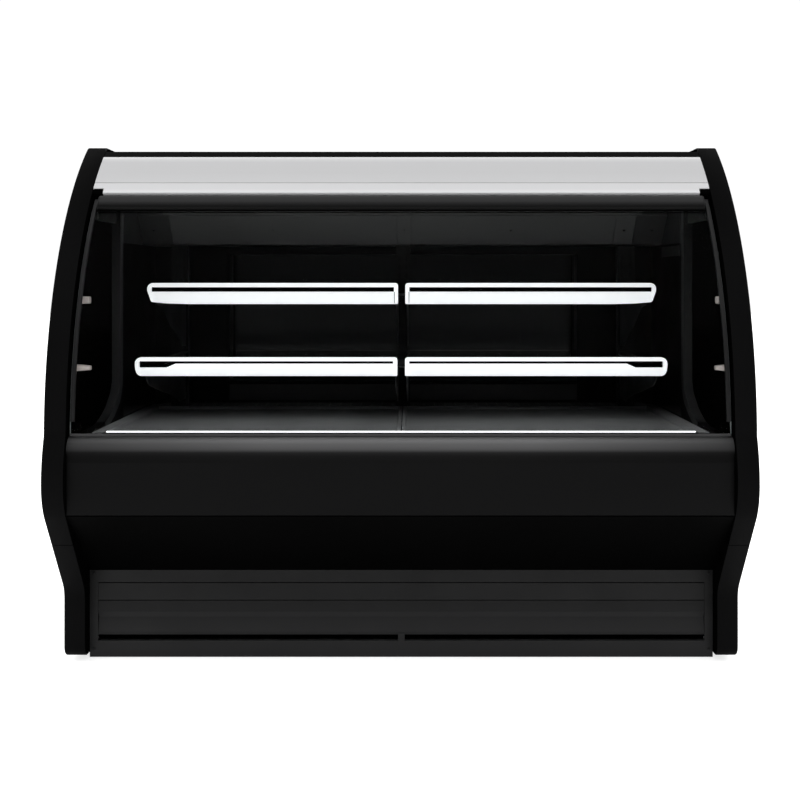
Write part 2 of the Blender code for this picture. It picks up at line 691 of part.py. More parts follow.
def make_rear_panels(cabinet, steel, black):
    """Removable louvred cover and the control panel beside it, flush with the tub's rear."""
    low, high = TRAY_LOW + 0.001, TUB_LOW - 0.0015
    depth = (TUB_REAR - 0.006, TUB_REAR)
    cover = block("rear_service_panel", (-SPAN + 0.001, 0.398), depth, (low, high), steel, parent=cabinet)
    for column, x in enumerate((-0.46, 0.06)):
        for row in range(6):
            height = 0.100 + 0.035 * row
            name = "louvre_%d_%d" % (column, row)
            cut(cover, block(name, (x - 0.19, x + 0.19), (0.9, 1.1), (height, height + 0.010), steel))
    panel = block("control_panel", (0.400, SPAN - 0.001), depth, (low, high), black, parent=cabinet)
    gland_at = (0.690, place(TUB_REAR), 0.090)
    join(panel, rod("cord_gland", gland_at, "Y", 0.013, -0.003, 0.016, black, 16))
    for name, x in (("power_switch", 0.470), ("light_switch", 0.530)):
        window = block(name + "_window", (x - 0.0113, x + 0.0113), (0.9, 1.1), (0.234, 0.266), black)
        cut(panel, window)
        axis = (x, place(TUB_REAR - 0.003), 0.250)
        pivot = make_empty(name + "_pivot", axis)
        pivot.parent = cabinet
        flat = [(-0.006, -0.0140), (0.005, -0.0145), (0.0085, -0.0115), (0.0060, 0)]
        flat += [(0.0085, 0.0115), (0.005, 0.0145), (-0.006, 0.0140)]
        tilt = radians(SWITCH_TILT)
        turned_flat = [(a * cos(tilt) + b * sin(tilt), b * cos(tilt) - a * sin(tilt)) for a, b in flat]
        rocker = [(TUB_REAR - 0.003 + a, 0.250 + b) for a, b in turned_flat]
        prism(name, rocker, x - 0.010, x + 0.010, black, origin=axis, parent=pivot)
    knob_at = (0.620, place(TUB_REAR), 0.250)
    spindle = make_empty("thermostat_knob_spindle", knob_at)
    spindle.parent = cabinet
    outline = [(0, 0.0005), (0.021, 0.0005), (0.021, 0.004), (0.017, 0.006)]
    outline += [(0.0155, 0.018), (0.013, 0.020), (0, 0.020)]
    knob = turned("thermostat_knob", outline, knob_at, "Y", black, 28, origin=knob_at, parent=spindle)
    grip = block("knob_grip", (0.6175, 0.6225), (TUB_REAR + 0.004, TUB_REAR + 0.024), (0.2345, 0.2655), black)
    join(knob, grip)


def main():
    clear_scene()
    steel = make_material("painted_steel", (0.012, 0.012, 0.013), 0.38)
    silver = make_material("silver_sheet", (0.62, 0.63, 0.64), 0.30, 0.8)
    grey = make_material("grey_anodised", (0.10, 0.10, 0.105), 0.35, 0.7)
    black = make_material("black_satin", (0.010, 0.010, 0.011), 0.45)
    stainless = make_material("stainless", (0.30, 0.30, 0.31), 0.32, 0.9)
    foam = make_material("foam_liner", (0.030, 0.030, 0.032), 0.5)
    clear = make_material("clear_glass", (0.9, 0.95, 0.95), 0.02, 0.0, 0.2)
    tinted = make_material("tinted_glass", (0.04, 0.045, 0.05), 0.06)
    white = make_material("white_diffuser", (0.95, 0.95, 0.95), 0.4)
    rubber = make_material("black_rubber", (0.02, 0.02, 0.02), 0.8)
    aluminium = make_material("fin_aluminium", (0.55, 0.56, 0.57), 0.4, 0.9)
    plastic = make_material("fan_plastic", (0.03, 0.03, 0.03), 0.5)

    cabinet = make_empty("cabinet", (0, 0, 0))
    make_end_panels(cabinet, steel)
    make_tub(cabinet, foam)
    make_base(cabinet, steel, rubber)
    make_bumper(cabinet, steel)
    make_undercut(cabinet, steel)
    make_kick_grille(cabinet, steel)
    make_top(cabinet, steel, silver, black)
    make_side_liners(cabinet, black)
    make_rear_wall(cabinet, black, stainless)
    make_rear_doors(cabinet, black, tinted)
    make_uprights(cabinet, steel)
    make_brackets(cabinet, steel)
    make_shelves(cabinet, clear, white)
    make_deck(cabinet, stainless, black)
    make_front_glass(cabinet, clear, grey, black)
    make_evaporator(cabinet, aluminium, plastic)
    make_condensing_unit(cabinet, aluminium, black, stainless, plastic)
    make_rear_panels(cabinet, steel, black)


main()
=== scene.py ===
from math import asin, cos, pi, radians, sin, tan

import bmesh
import bpy
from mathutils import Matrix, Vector


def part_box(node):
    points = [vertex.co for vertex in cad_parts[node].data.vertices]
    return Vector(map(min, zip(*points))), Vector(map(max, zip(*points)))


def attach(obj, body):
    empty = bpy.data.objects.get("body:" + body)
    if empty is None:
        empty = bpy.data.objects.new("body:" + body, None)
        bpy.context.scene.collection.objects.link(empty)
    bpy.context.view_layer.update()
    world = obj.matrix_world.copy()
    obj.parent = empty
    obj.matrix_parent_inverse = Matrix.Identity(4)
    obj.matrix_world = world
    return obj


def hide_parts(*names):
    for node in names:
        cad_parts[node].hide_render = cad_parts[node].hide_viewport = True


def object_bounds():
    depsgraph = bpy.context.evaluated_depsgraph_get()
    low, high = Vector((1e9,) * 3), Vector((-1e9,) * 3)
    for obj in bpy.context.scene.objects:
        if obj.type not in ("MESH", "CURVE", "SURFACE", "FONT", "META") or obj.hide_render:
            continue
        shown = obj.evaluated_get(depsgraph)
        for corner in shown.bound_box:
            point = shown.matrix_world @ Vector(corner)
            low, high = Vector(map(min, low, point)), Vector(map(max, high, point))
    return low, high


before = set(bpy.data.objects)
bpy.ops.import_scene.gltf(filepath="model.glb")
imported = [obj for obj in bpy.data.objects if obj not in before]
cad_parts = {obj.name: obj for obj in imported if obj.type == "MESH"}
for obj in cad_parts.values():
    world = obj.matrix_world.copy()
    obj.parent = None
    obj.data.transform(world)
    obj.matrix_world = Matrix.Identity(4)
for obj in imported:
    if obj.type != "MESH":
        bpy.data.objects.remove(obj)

# The looks of the refrigerated deli case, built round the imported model.  The customer's side faces -Y.
# Depths are given from the front-most point of the case; at() turns (depth, height) into (Y, Z).

CAD_LOW, CAD_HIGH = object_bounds()
FRONT = CAD_LOW[1]
DEPTH = CAD_HIGH[1] - CAD_LOW[1]
HALF = CAD_HIGH[0]
HEIGHT = CAD_HIGH[2]
INNER = -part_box("end_panel_left")[1].x  # half the width between the end panels
GAP = 0.0003
SPAN = INNER - GAP
HAIR = 0.0002  # keeps two faces from lying in one plane

# The front circle that the end panels, the canopy and the glass share
CURVE = (0.852, 0.544)
PANEL_RADIUS = 0.83
SKIN_RADIUS = 0.829
GLASS_RADIUS = 0.815
GLASS = 0.006


def at(depth, height):
    return (FRONT + depth, height)


def reach_of(node):
    """The corners of a node's box, then the depths of its front and its rear."""
    low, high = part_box(node)
    return low, high, low.y - FRONT, high.y - FRONT


def on_curve(radius, degrees):
    """A (depth, height) on the front circle, its angle up from horizontal."""
    return (CURVE[0] - radius * cos(radians(degrees)), CURVE[1] + radius * sin(radians(degrees)))


def sweep(radius, start, end, steps):
    return [on_curve(radius, start + (end - start) * i / steps) for i in range(steps + 1)]


def arc(centre, radius, start, end, steps):
    """Points of any arc; angles in degrees, 0 towards the rear (or +X) and 90 up."""
    angles = [radians(start + (end - start) * i / steps) for i in range(steps + 1)]
    return [(centre[0] + radius * cos(a), centre[1] + radius * sin(a)) for a in angles]


def oblong(across_low, across_high, up_low, up_high):
    """The four corners of an upright rectangle."""
    return [(across_low, up_low), (across_high, up_low), (across_high, up_high), (across_low, up_high)]


def rounded(outline, radii, steps=4):
    """The outline with each corner turned into an arc of about its radius; one number does for all."""
    result = []
    count = len(outline)
    if isinstance(radii, float):
        radii = [radii] * count
    for i, point in enumerate(outline):
        here, radius = Vector(point), radii[i]
        before, after = Vector(outline[i - 1]) - here, Vector(outline[(i + 1) % count]) - here
        turn = before.angle(after)
        if turn > radians(165) or radius <= 0:
            result.append(tuple(here))
            continue
        reach = min(radius / tan(turn / 2), before.length * 0.45, after.length * 0.45)
        start, end = here + before.normalized() * reach, here + after.normalized() * reach
        for k in range(steps + 1):
            t = k / steps
            curve = start * (1 - t) ** 2 + here * (2 * t * (1 - t)) + end * t**2
            result.append(tuple(curve))
    return result


# ---------------------------------------------------------------- materials


class Look:
    """One Principled material with helpers for the textures that vary over it."""

    def __init__(self, name, colour, roughness, metallic=0.0, specular=0.5, coat=0.0):
        self.name = name
        self.material = bpy.data.materials.new(name)
        self.material.use_nodes = True
        self.tree = self.material.node_tree
        self.shader = self.tree.nodes["Principled BSDF"]
        self.colour = colour
        self.set("Base Color", (*colour, 1.0))
        self.set("Roughness", roughness)
        self.set("Metallic", metallic)
        self.set("Specular IOR Level", specular)
        self.set("Coat Weight", coat)
        self.material.diffuse_color = (*colour, 1.0)
        self.height = None

    def set(self, socket, value):
        self.shader.inputs[socket].default_value = value

    def node(self, kind, **settings):
        made = self.tree.nodes.new(kind)
        for key, value in settings.items():
            if key in made.inputs:
                made.inputs[key].default_value = value
            else:
                setattr(made, key, value)
        return made

    def link(self, output, target):
        self.tree.links.new(output, target)

    def place(self, stretch=(1, 1, 1)):
        """Object coordinates, stretched; every mesh is in the case's own frame."""
        where = self.node("ShaderNodeTexCoord")
        mapping = self.node("ShaderNodeMapping")
        mapping.inputs["Scale"].default_value = stretch
        self.link(where.outputs["Object"], mapping.inputs["Vector"])
        return mapping.outputs["Vector"]

    def noise(self, scale, detail=4.0, stretch=(1, 1, 1), rough=0.55):
        texture = self.node("ShaderNodeTexNoise", Scale=scale, Detail=detail, Roughness=rough)
        self.link(self.place(stretch), texture.inputs["Vector"])
        return texture.outputs["Fac"]

    def span(self, factor, low, high, start=0.3, end=0.7):
        """The factor spread from low to high."""
        ranged = self.node("ShaderNodeMapRange")
        for key, value in (("From Min", start), ("From Max", end), ("To Min", low), ("To Max", high)):
            ranged.inputs[key].default_value = value
        self.link(factor, ranged.inputs["Value"])
        return ranged.outputs["Result"]

    def vary_roughness(self, low, high, scale=6.0, stretch=(1, 1, 1), detail=5.0):
        self.link(self.span(self.noise(scale, detail, stretch), low, high), self.shader.inputs["Roughness"])
        return self

    def vary_colour(self, other, scale=4.0, stretch=(1, 1, 1), detail=5.0, start=0.35, end=0.7):
        mix, first, second, result = self.mix()
        first.default_value, second.default_value = (*self.colour, 1.0), (*other, 1.0)
        factor = self.span(self.noise(scale, detail, stretch), 0.0, 1.0, start, end)
        self.link(factor, mix.inputs["Factor"])
        self.link(result, self.shader.inputs["Base Color"])
        return self

    def mix(self, **settings):
        """A colour mix node with its two colour inputs and its colour output."""
        mix = self.node("ShaderNodeMix", data_type="RGBA", **settings)
        first, second = [socket for socket in mix.inputs if socket.type == "RGBA"]
        result = [socket for socket in mix.outputs if socket.type == "RGBA"][0]
        return mix, first, second, result

    def fade(self, axis, stops, mirror=False):
        """Multiplies the colour by factors of at most 1 given at (place, factor) stops along an axis; every
        use of it here paints light or shade into the colour.
        """
        where = self.node("ShaderNodeSeparateXYZ")
        self.link(self.place(), where.inputs["Vector"])
        along = where.outputs[axis]
        if mirror:
            size = self.node("ShaderNodeMath", operation="ABSOLUTE")
            self.link(along, size.inputs[0])
            along = size.outputs["Value"]
        start, end = stops[0][0], stops[-1][0]
        ramp = self.node("ShaderNodeValToRGB")
        self.link(self.span(along, 0.0, 1.0, start, end), ramp.inputs["Fac"])
        for number, (place, factor) in enumerate(stops):
            position = (place - start) / (end - start)
            elements = ramp.color_ramp.elements
            stop = elements[number] if number < 2 else elements.new(position)
            stop.position = position
            stop.color = (factor, factor, factor, 1.0)
        mix, first, second, result = self.mix(blend_type="MULTIPLY")
        mix.inputs["Factor"].default_value = 1.0
        colour = self.shader.inputs["Base Color"]
        if colour.is_linked:
            self.link(colour.links[0].from_socket, first)
        else:
            first.default_value = (*self.colour, 1.0)
        self.link(ramp.outputs["Color"], second)
        self.link(result, colour)
        return self

    def glow(self, colour, strength):
        self.set("Emission Color", (*colour, 1.0))
        self.set("Emission Strength", strength)
        return self

    def bump(self, factor, distance, strength=1.0):
        bump = self.node("ShaderNodeBump", Distance=distance, Strength=strength)
        self.link(factor, bump.inputs["Height"])
        if self.height is not None:
            self.link(self.height, bump.inputs["Normal"])
        self.height = bump.outputs["Normal"]
        self.link(self.height, self.shader.inputs["Normal"])
        return self

    def grain(self, scale, distance, stretch=(1, 1, 1), detail=3.0, strength=1.0):
        return self.bump(self.noise(scale, detail, stretch), distance, strength)


def grey(level, blue=None):
    """A neutral colour, cooled a little where its blue is given."""
    return (level, level, blue or level)


def make_looks():
    """Every surface: colour, specular level, roughness, then the colour it drifts towards."""
    looks = {}

    def look(name, colour, specular, roughness, *blend, **levels):
        fixed = roughness if isinstance(roughness, float) else 0.5
        made = Look(name, colour, fixed, specular=specular, **levels)
        looks[name] = made.material
        if blend:
            made.vary_colour(*blend)
        if fixed != roughness:
            made.vary_roughness(*roughness)
        return made

    panel = look("end_panel_black", grey(0.0031, 0.0032), 0.008, (0.34, 0.48, 9.0), grey(0.0038, 0.0039),
                 2.5)
    panel.grain(900, 0.00018).grain(120, 0.0002)
    # Painted shade: the end panels' colour darkens from 0.95 m up towards the top.
    panel.fade("Z", [(0.95, 1.0), (1.1, 0.56), (1.18, 0.4), (1.246, 0.34)])
    edge_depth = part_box("top_panel")[0].y
    roof = look("top_black", grey(0.0022, 0.0023), 0.008, (0.34, 0.48, 9.0), grey(0.0027, 0.0028), 2.5)
    roof.grain(900, 0.00018)
    # Painted shade: the top panel's colour darkens sharply over its front 8 cm.
    roof.fade("Y", [(edge_depth, 0.06), (edge_depth + 0.04, 0.12), (edge_depth + 0.08, 1.0)])
    fascia = look("fascia_black", grey(0.0019, 0.002), 0.05, (0.3, 0.44, 7.0, (0.3, 1, 1)),
                  grey(0.0025, 0.0026), 3.0, (0.4, 1, 1))
    fascia.grain(700, 0.00014).grain(60, 0.00025)
    nose = look("nose_painted_highlight", grey(0.245, 0.249), 0.05, (0.36, 0.48, 7.0, (0.3, 1, 1)),
                grey(0.262, 0.266), 3.0, (0.4, 1, 1))
    # Painted highlight: the nose colour is brightest along the ledge and the middle, fading down to the
    # fascia and towards both ends.
    nose.fade("Z", [(0.5, 0.0075), (0.515, 0.014), (0.523, 0.04), (0.53, 0.23), (0.542, 0.37),
                    (0.549, 0.62), (0.5535, 1.0)])
    nose.fade("X", [(0.0, 1.0), (0.3, 1.0), (0.6, 0.62), (0.745, 0.38)], mirror=True).grain(700, 0.00014)
    look("undercut_black", grey(0.0005), 0.005, (0.46, 0.6, 8.0), grey(0.0008), 4.0).grain(700, 0.00016)
    kick = look("kick_grey_black", grey(0.011, 0.0114), 0.15, (0.4, 0.54, 8.0), grey(0.0125, 0.013), 5.0,
                (0.3, 1, 1))
    # Painted light from the floor: the kick plate's colour is lighter towards the bottom and darker towards
    # the top.
    kick.fade("Z", [(0.02, 0.8), (0.09, 0.86), (0.13, 0.42), (0.21, 0.28)]).grain(800, 0.00014)
    kick.grain(14, 0.0006, (0.3, 1, 1))
    # slot_dark is near-black for seals, stops and dark plastic parts, and also for sheets of painted shade
    # behind the kick rows, inside its slot and behind the uprights.
    look("slot_dark", grey(0.0006), 0.0, 0.85, grey(0.0011), 30.0)
    liner = look("liner_black", grey(0.0009, 0.001), 0.03, (0.32, 0.46, 6.0), grey(0.0014, 0.0015), 5.0)
    liner.grain(500, 0.0001).grain(25, 0.0003)
    # Painted highlight and reflection: the lighter edge band stands for the highlight on the liner's front
    # edge, and its front faces carry the lit deck's reflection, lighter towards the bottom.
    look("liner_edge_painted_highlight", grey(0.05, 0.0515), 0.25, (0.34, 0.46, 6.0), grey(0.06, 0.0618), 5.0)
    front = look("liner_front_painted_reflection", grey(0.026, 0.0267), 0.05, (0.36, 0.48, 6.0), grey(0.031, 0.0317), 5.0)
    front.fade("Z", [(0.6, 1.0), (0.8, 0.8), (0.98, 0.45), (1.06, 0.22), (1.2, 0.18)])
    look("stiffener_black", grey(0.02, 0.0206), 0.15, (0.36, 0.48, 6.0), grey(0.024, 0.0246), 5.0)
    # Painted reflection: a grey that fades out upwards, for the lit deck's reflection on the foot of the
    # liner.
    foot_reflection = look("cove_grey", grey(0.075, 0.0765), 0.1, 0.45, grey(0.085, 0.0867), 5.0)
    foot_reflection.fade("Z", [(0.555, 0.9), (0.561, 0.5), (0.57, 0.16), (0.58, 0.03)])
    look("upright_black", grey(0.004, 0.0042), 0.08, (0.36, 0.48, 12.0), grey(0.0055, 0.0057), 9.0)
    header = look("header_black", grey(0.027, 0.0276), 0.25, (0.36, 0.48, 8.0), grey(0.031, 0.0316), 6.0,
                  (0.3, 1, 1))
    header.grain(500, 0.00012)
    cover = look("header_cover", grey(0.07, 0.0712), 0.25, (0.36, 0.48, 8.0), grey(0.08, 0.0812), 6.0,
                 (0.3, 1, 1))
    cover.grain(500, 0.00012)
    look("header_lens", grey(0.085, 0.087), 0.3, (0.24, 0.36, 8.0), grey(0.095, 0.097), 6.0, (0.3, 1, 1))
    shelf = look("shelf_steel_black", grey(0.014, 0.0145), 0.25, (0.32, 0.46, 12.0), grey(0.018, 0.0185),
                 9.0)
    shelf.grain(900, 0.00012)
    silver = look("canopy_silver", grey(0.585, 0.594), 0.4, (0.28, 0.4, 3.0, (0.2, 1, 1)),
                  grey(0.61, 0.62), 1.6, (0.35, 1, 1), 3.0)
    # Painted shading and highlight: the canopy is lighter over its lower trim and its top bend and darker
    # across the middle.
    silver.fade("Z", [(1.1, 1.0), (1.124, 1.0), (1.132, 0.88), (1.146, 0.87), (1.15, 0.77),
                      (1.175, 0.72), (1.204, 0.71), (1.212, 0.8), (1.217, 1.0)])
    silver.grain(60, 0.00012, (0.02, 1, 1), 6.0)
    bar = look("rail_grey", grey(0.039, 0.04), 0.08, (0.34, 0.46, 60.0, (0.02, 1, 1)),
               grey(0.042, 0.043), 7.0, (0.15, 1, 1))
    # Painted shading: the glass top rail is nearly black at its lower edge and lightest across its upper
    # face.
    bar.fade("Z", [(1.076, 0.01), (1.0862, 0.02), (1.0885, 0.08), (1.0965, 0.22), (1.1005, 0.38),
                   (1.107, 0.42), (1.113, 0.38), (1.118, 0.32), (1.121, 0.26)])
    anodised = look("grey_anodised", grey(0.03, 0.032), 0.4, (0.32, 0.44, 60.0, (0.02, 1, 1)),
                    grey(0.038, 0.04), 7.0, (0.15, 1, 1), metallic=0.5)
    anodised.grain(260, 0.00006, (0.02, 1, 1))
    look("edge_trim_grey", grey(0.0085, 0.0089), 0.12, (0.36, 0.5, 40.0), grey(0.011, 0.0114), 30.0)
    look("sill_grey", grey(0.03, 0.031), 0.2, (0.52, 0.66, 30.0), grey(0.036, 0.037), 30.0)
    deck = look("deck_grey", grey(0.3, 0.305), 0.15, (0.38, 0.5, 9.0), grey(0.33, 0.335), 8.0)
    # Painted light and shade: the deck is brightest towards the front and darkens strongly towards the
    # rear.
    deck.fade("Y", [(FRONT + 0.16, 0.8), (FRONT + 0.3, 0.9), (FRONT + 0.4, 1.0), (FRONT + 0.5, 0.88),
                    (FRONT + 0.62, 0.48), (FRONT + 0.7, 0.24), (FRONT + 0.77, 0.14)])
    deck.grain(600, 0.00008, (1, 0.1, 1))
    stainless = look("brushed_stainless", grey(0.42, 0.425), 0.5, (0.24, 0.38, 140.0, (0.02, 1, 1)),
                     grey(0.48, 0.485), 90.0, (0.02, 1, 1), metallic=1.0)
    stainless.grain(420, 0.00005, (0.02, 1, 1), 4.0)
    galvanised = look("galvanised", (0.34, 0.345, 0.35), 0.5, (0.34, 0.55, 30.0), (0.45, 0.455, 0.46),
                      28.0, (1, 1, 1), 1.0, 0.45, 0.55, metallic=0.9)
    galvanised.grain(300, 0.00008)
    look("fin_aluminium", (0.55, 0.56, 0.57), 0.5, (0.28, 0.5, 40.0), (0.46, 0.47, 0.48), 25.0,
         metallic=1.0)
    look("copper_tube", (0.62, 0.27, 0.15), 0.5, (0.22, 0.45, 50.0), (0.42, 0.17, 0.1), 35.0, metallic=1.0)
    enamel = look("black_enamel", grey(0.008), 0.5, (0.16, 0.34, 14.0), grey(0.013), 10.0, coat=0.3)
    enamel.grain(150, 0.0002)
    plastic = look("moulded_black", grey(0.01), 0.45, (0.42, 0.56, 20.0), grey(0.014, 0.0145), 14.0)
    plastic.grain(1400, 0.00016)
    look("grille_black", grey(0.015, 0.0153), 0.25, (0.42, 0.56, 20.0), grey(0.019, 0.0193), 14.0)
    look("black_rubber", grey(0.012), 0.3, (0.62, 0.82, 30.0), grey(0.02), 18.0).grain(500, 0.0002)
    look("pale_nylon", (0.46, 0.4, 0.38), 0.4, (0.36, 0.5, 40.0), (0.52, 0.47, 0.45), 60.0)
    look("white_marks", grey(0.78), 0.5, 0.5, grey(0.7), 80.0)
    tub = look("tub_coated", grey(0.016, 0.017), 0.4, (0.42, 0.58, 9.0), grey(0.022, 0.023), 6.0)
    tub.grain(700, 0.00012)
    look("door_frame_black", grey(0.0044, 0.0046), 0.07, (0.34, 0.46, 20.0, (0.1, 1, 1)),
         grey(0.0056, 0.0058), 12.0)
    look("door_tint_front", grey(0.016, 0.0165), 0.1, (0.32, 0.46, 9.0), grey(0.02, 0.0206), 8.0)
    look("tinted_glass", (0.0122, 0.0125, 0.0131), 0.045, (0.12, 0.2, 3.0), (0.015, 0.0154, 0.0161), 3.0)
    clear = look("clear_glass", (0.97, 0.985, 0.98), 0.5, (0.0, 0.012, 2.0))
    clear.set("Transmission Weight", 1.0)
    clear.set("IOR", 1.04)
    look("polished_glass_edge", (0.16, 0.18, 0.18), 0.5, 0.16, (0.21, 0.235, 0.235), 30.0, (1, 1, 0.3))
    look("lit_diffuser", (0.95, 0.96, 0.98), 0.4, (0.3, 0.42, 50.0)).glow((0.97, 0.98, 1.0), 2.2)
    look("lit_rail_white", (0.93, 0.94, 0.96), 0.4, (0.32, 0.46, 50.0)).glow((0.97, 0.98, 1.0), 0.24)
    look("lamp_cover_white", (0.9, 0.91, 0.93), 0.4, (0.32, 0.46, 50.0)).glow((0.97, 0.98, 1.0), 0.2)
    look("pilot_green", (0.02, 0.3, 0.05), 0.5, (0.2, 0.3, 90.0)).glow((0.05, 0.9, 0.15), 0.6)
    return looks


LOOKS = make_looks()


# ---------------------------------------------------------------- mesh helpers


def make_piece(name, shape, look, body="cabinet", replaces=(), slot=None, smooth=35, bevel=0.0, segments=2):
    """Turns a bmesh in the case's frame into a piece that rides on a body."""
    bmesh.ops.remove_doubles(shape, verts=shape.verts, dist=1e-6)
    bmesh.ops.recalc_face_normals(shape, faces=shape.faces)
    mesh = bpy.data.meshes.new(name)
    shape.to_mesh(mesh)
    shape.free()
    piece = bpy.data.objects.new(name, mesh)
    for one in [look] if isinstance(look, str) else look:
        mesh.materials.append(LOOKS[one])
    bpy.context.scene.collection.objects.link(piece)
    if bevel:
        soften(piece, bevel, segments)
    mesh.shade_smooth()
    mesh.set_sharp_from_angle(angle=radians(smooth))
    if body is not None:
        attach(piece, body)
    if replaces:
        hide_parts(*([replaces] if isinstance(replaces, str) else replaces))
    return piece


def piece_of(name, look, add, *values, **rest):
    """A piece that one of the add_ functions makes by itself."""
    shape = bmesh.new()
    add(shape, *values)
    return make_piece(name, shape, look, **rest)


def soften(piece, width, segments=2, angle=32):
    rounding = piece.modifiers.new("Rounding", "BEVEL")
    rounding.width = width
    rounding.segments = segments
    rounding.limit_method = "ANGLE"
    rounding.angle_limit = radians(angle)
    rounding.harden_normals = False


def add_prism(shape, outline, x_low, x_high, material=0):
    """A (depth, height) outline pushed along X."""
    add_rings(shape, [[shape.verts.new((x, *at(*point))) for point in outline] for x in (x_low, x_high)],
              material)


def add_skin(shape, first, second, material=0):
    """Quads between two closed rings of the same length."""
    count = len(first)
    for i in range(count):
        j = (i + 1) % count
        shape.faces.new((first[i], first[j], second[j], second[i])).material_index = material


def add_rings(shape, rings, material=0):
    """A closed body through rings of the same length; the first and the last are its end faces."""
    for first, second in zip(rings, rings[1:]):
        add_skin(shape, first, second, material)
    for ring in (rings[0], rings[-1]):
        shape.faces.new(ring).material_index = material


def add_box(shape, x, depth, height, material=0):
    add_prism(shape, oblong(*depth, *height), x[0], x[1], material)


def add_turned(shape, outline, centre, axis="Z", steps=24, material=0):
    """A (radius, along) outline spun about an axis through the centre; ends close on the axis."""
    rings = []
    for radius, along in outline:
        ring = []
        for k in range(steps):
            a = 2 * pi * k / steps
            point = (radius * cos(a), radius * sin(a), along)
            if axis == "X":
                point = (along, radius * cos(a), radius * sin(a))
            if axis == "Y":
                point = (radius * sin(a), along, radius * cos(a))
            ring.append(shape.verts.new(Vector(point) + Vector(centre)))
        rings.append(ring)
    add_rings(shape, rings, material)


def add_plate(shape, outline, depth_low, depth_high, material=0):
    """An (x, height) outline pushed from front to rear."""
    rings = [[shape.verts.new((x, *at(depth, z))) for x, z in outline] for depth in (depth_low, depth_high)]
    add_rings(shape, rings, material)


def add_pierced(shape, xs, zs, is_hole, depth, thickness, material=0):
    """A flat sheet in the XZ plane on a grid of cells, some of them open with closed edges."""
    solid = {(i, j) for i in range(len(xs) - 1) for j in range(len(zs) - 1) if not is_hole(i, j)}
    grid = {}

    def corner(i, j, back):
        key = (i, j, back)
        if key not in grid:
            grid[key] = shape.verts.new((xs[i], *at(depth + (thickness if back else 0), zs[j])))
        return grid[key]

    def quad(*keys):
        shape.faces.new([corner(*key) for key in keys]).material_index = material

    for i, j in solid:
        quad((i, j, 0), (i + 1, j, 0), (i + 1, j + 1, 0), (i, j + 1, 0))
        quad((i, j, 1), (i, j + 1, 1), (i + 1, j + 1, 1), (i + 1, j, 1))
        edges = (((i, j), (i + 1, j), (i, j - 1)), ((i + 1, j), (i + 1, j + 1), (i + 1, j)))
        edges += (((i + 1, j + 1), (i, j + 1), (i, j + 1)), ((i, j + 1), (i, j), (i - 1, j)))
        for start, end, neighbour in edges:
            if neighbour not in solid:
                quad((*start, 0), (*start, 1), (*end, 1), (*end, 0))


def breaks(start, end, holes):
    """Sorted grid lines with both edges of each hole, and the indices of the hole cells."""
    lines = [start]
    inside = set()
    for low, high in holes:
        inside.add(len(lines))
        lines += [low, high]
    lines.append(end)
    return lines, inside


def tube(name, points, radius, look, body="cabinet", resolution=6):
    """A pipe or wire through points given as (x, depth, height)."""
    curve = bpy.data.curves.new(name, "CURVE")
    curve.dimensions = "3D"
    curve.bevel_depth = radius
    curve.bevel_resolution = 4
    curve.resolution_u = resolution
    curve.use_fill_caps = True
    line = curve.splines.new("NURBS")
    line.points.add(len(points) - 1)
    for spot, (x, depth, height) in zip(line.points, points):
        spot.co = (x, *at(depth, height), 1.0)
    line.use_endpoint_u = True
    line.order_u = 4
    piece = bpy.data.objects.new(name, curve)
    curve.materials.append(LOOKS[look])
    bpy.context.scene.collection.objects.link(piece)
    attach(piece, body)
    return piece


def screws(name, spots, axis, look="brushed_stainless", radius=0.0045, body="cabinet", proud=0.0022):
    """Domed screw heads with a six-sided socket; spots are (x, depth, height), axis points outwards."""
    shape = bmesh.new()
    turn = Vector((0, 0, 1)).rotation_difference(Vector(axis)).to_matrix().to_4x4()
    dome = [(radius, 0.0), (radius, proud * 0.35), (radius * 0.85, proud * 0.8), (radius * 0.5, proud)]
    socket = [(radius * 0.42, proud * 0.98), (radius * 0.38, proud * 0.3)]
    steps = 12
    for x, depth, height in spots:
        rings = []
        for k, (r, along) in enumerate(dome + socket):
            ring = []
            for s in range(steps):
                a = 2 * pi * s / steps
                reach = r * (cos(pi / 6) / cos((a % (pi / 3)) - pi / 6) if k >= 4 else 1.0)
                local = turn @ Vector((reach * cos(a), reach * sin(a), along))
                ring.append(shape.verts.new(local + Vector((x, *at(depth, height)))))
            rings.append(ring)
        add_rings(shape, rings)
    return make_piece(name, shape, look, body, smooth=50)


def both_sides():
    return (("left", -1), ("right", 1))


def mirrored(sign, near, far):
    return tuple(sorted((sign * near, sign * far)))


def paint(node, look, bevel=0.0, segments=2):
    """A carried-over CAD node gets a finished material and softened edges."""
    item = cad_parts[node]
    item.data.materials.clear()
    item.data.materials.append(LOOKS[look])
    for face in item.data.polygons:
        face.material_index = 0
    if bevel:
        soften(item, bevel, segments)


# ---------------------------------------------------------------- end panels


def end_panel_outline():
    """Flat top and rear, the big circle in front, then belly, undercut and upright foot."""
    top_angle = asin((HEIGHT - CURVE[1]) / PANEL_RADIUS) * 180 / pi
    foot = 0.014
    outline = arc((DEPTH - 0.012, foot + 0.012), 0.012, -90, 0, 4)
    outline += arc((DEPTH - 0.014, HEIGHT - 0.014), 0.014, 0, 90, 5)
    corner, after = (Vector(on_curve(PANEL_RADIUS, top_angle - t)) for t in (0.0, 0.25))
    before = corner + Vector((0.0036, 0))
    for t in (0, 0.25, 0.5, 0.75, 1):
        outline.append(tuple(before * (1 - t) ** 2 + corner * 2 * t * (1 - t) + after * t**2))
    outline += sweep(PANEL_RADIUS, top_angle - 1.0, 1.2, 64)
    outline += arc((0.276, 0.452), 0.276, 161.5, 180, 10)
    outline += arc((0.13, 0.452), 0.13, 184, 219.2, 12)
    outline += arc((0.13, 0.1529), 0.06, 39.2, 0, 12)
    outline += arc((0.216, foot + 0.026), 0.026, 180, 270, 8)
    return outline


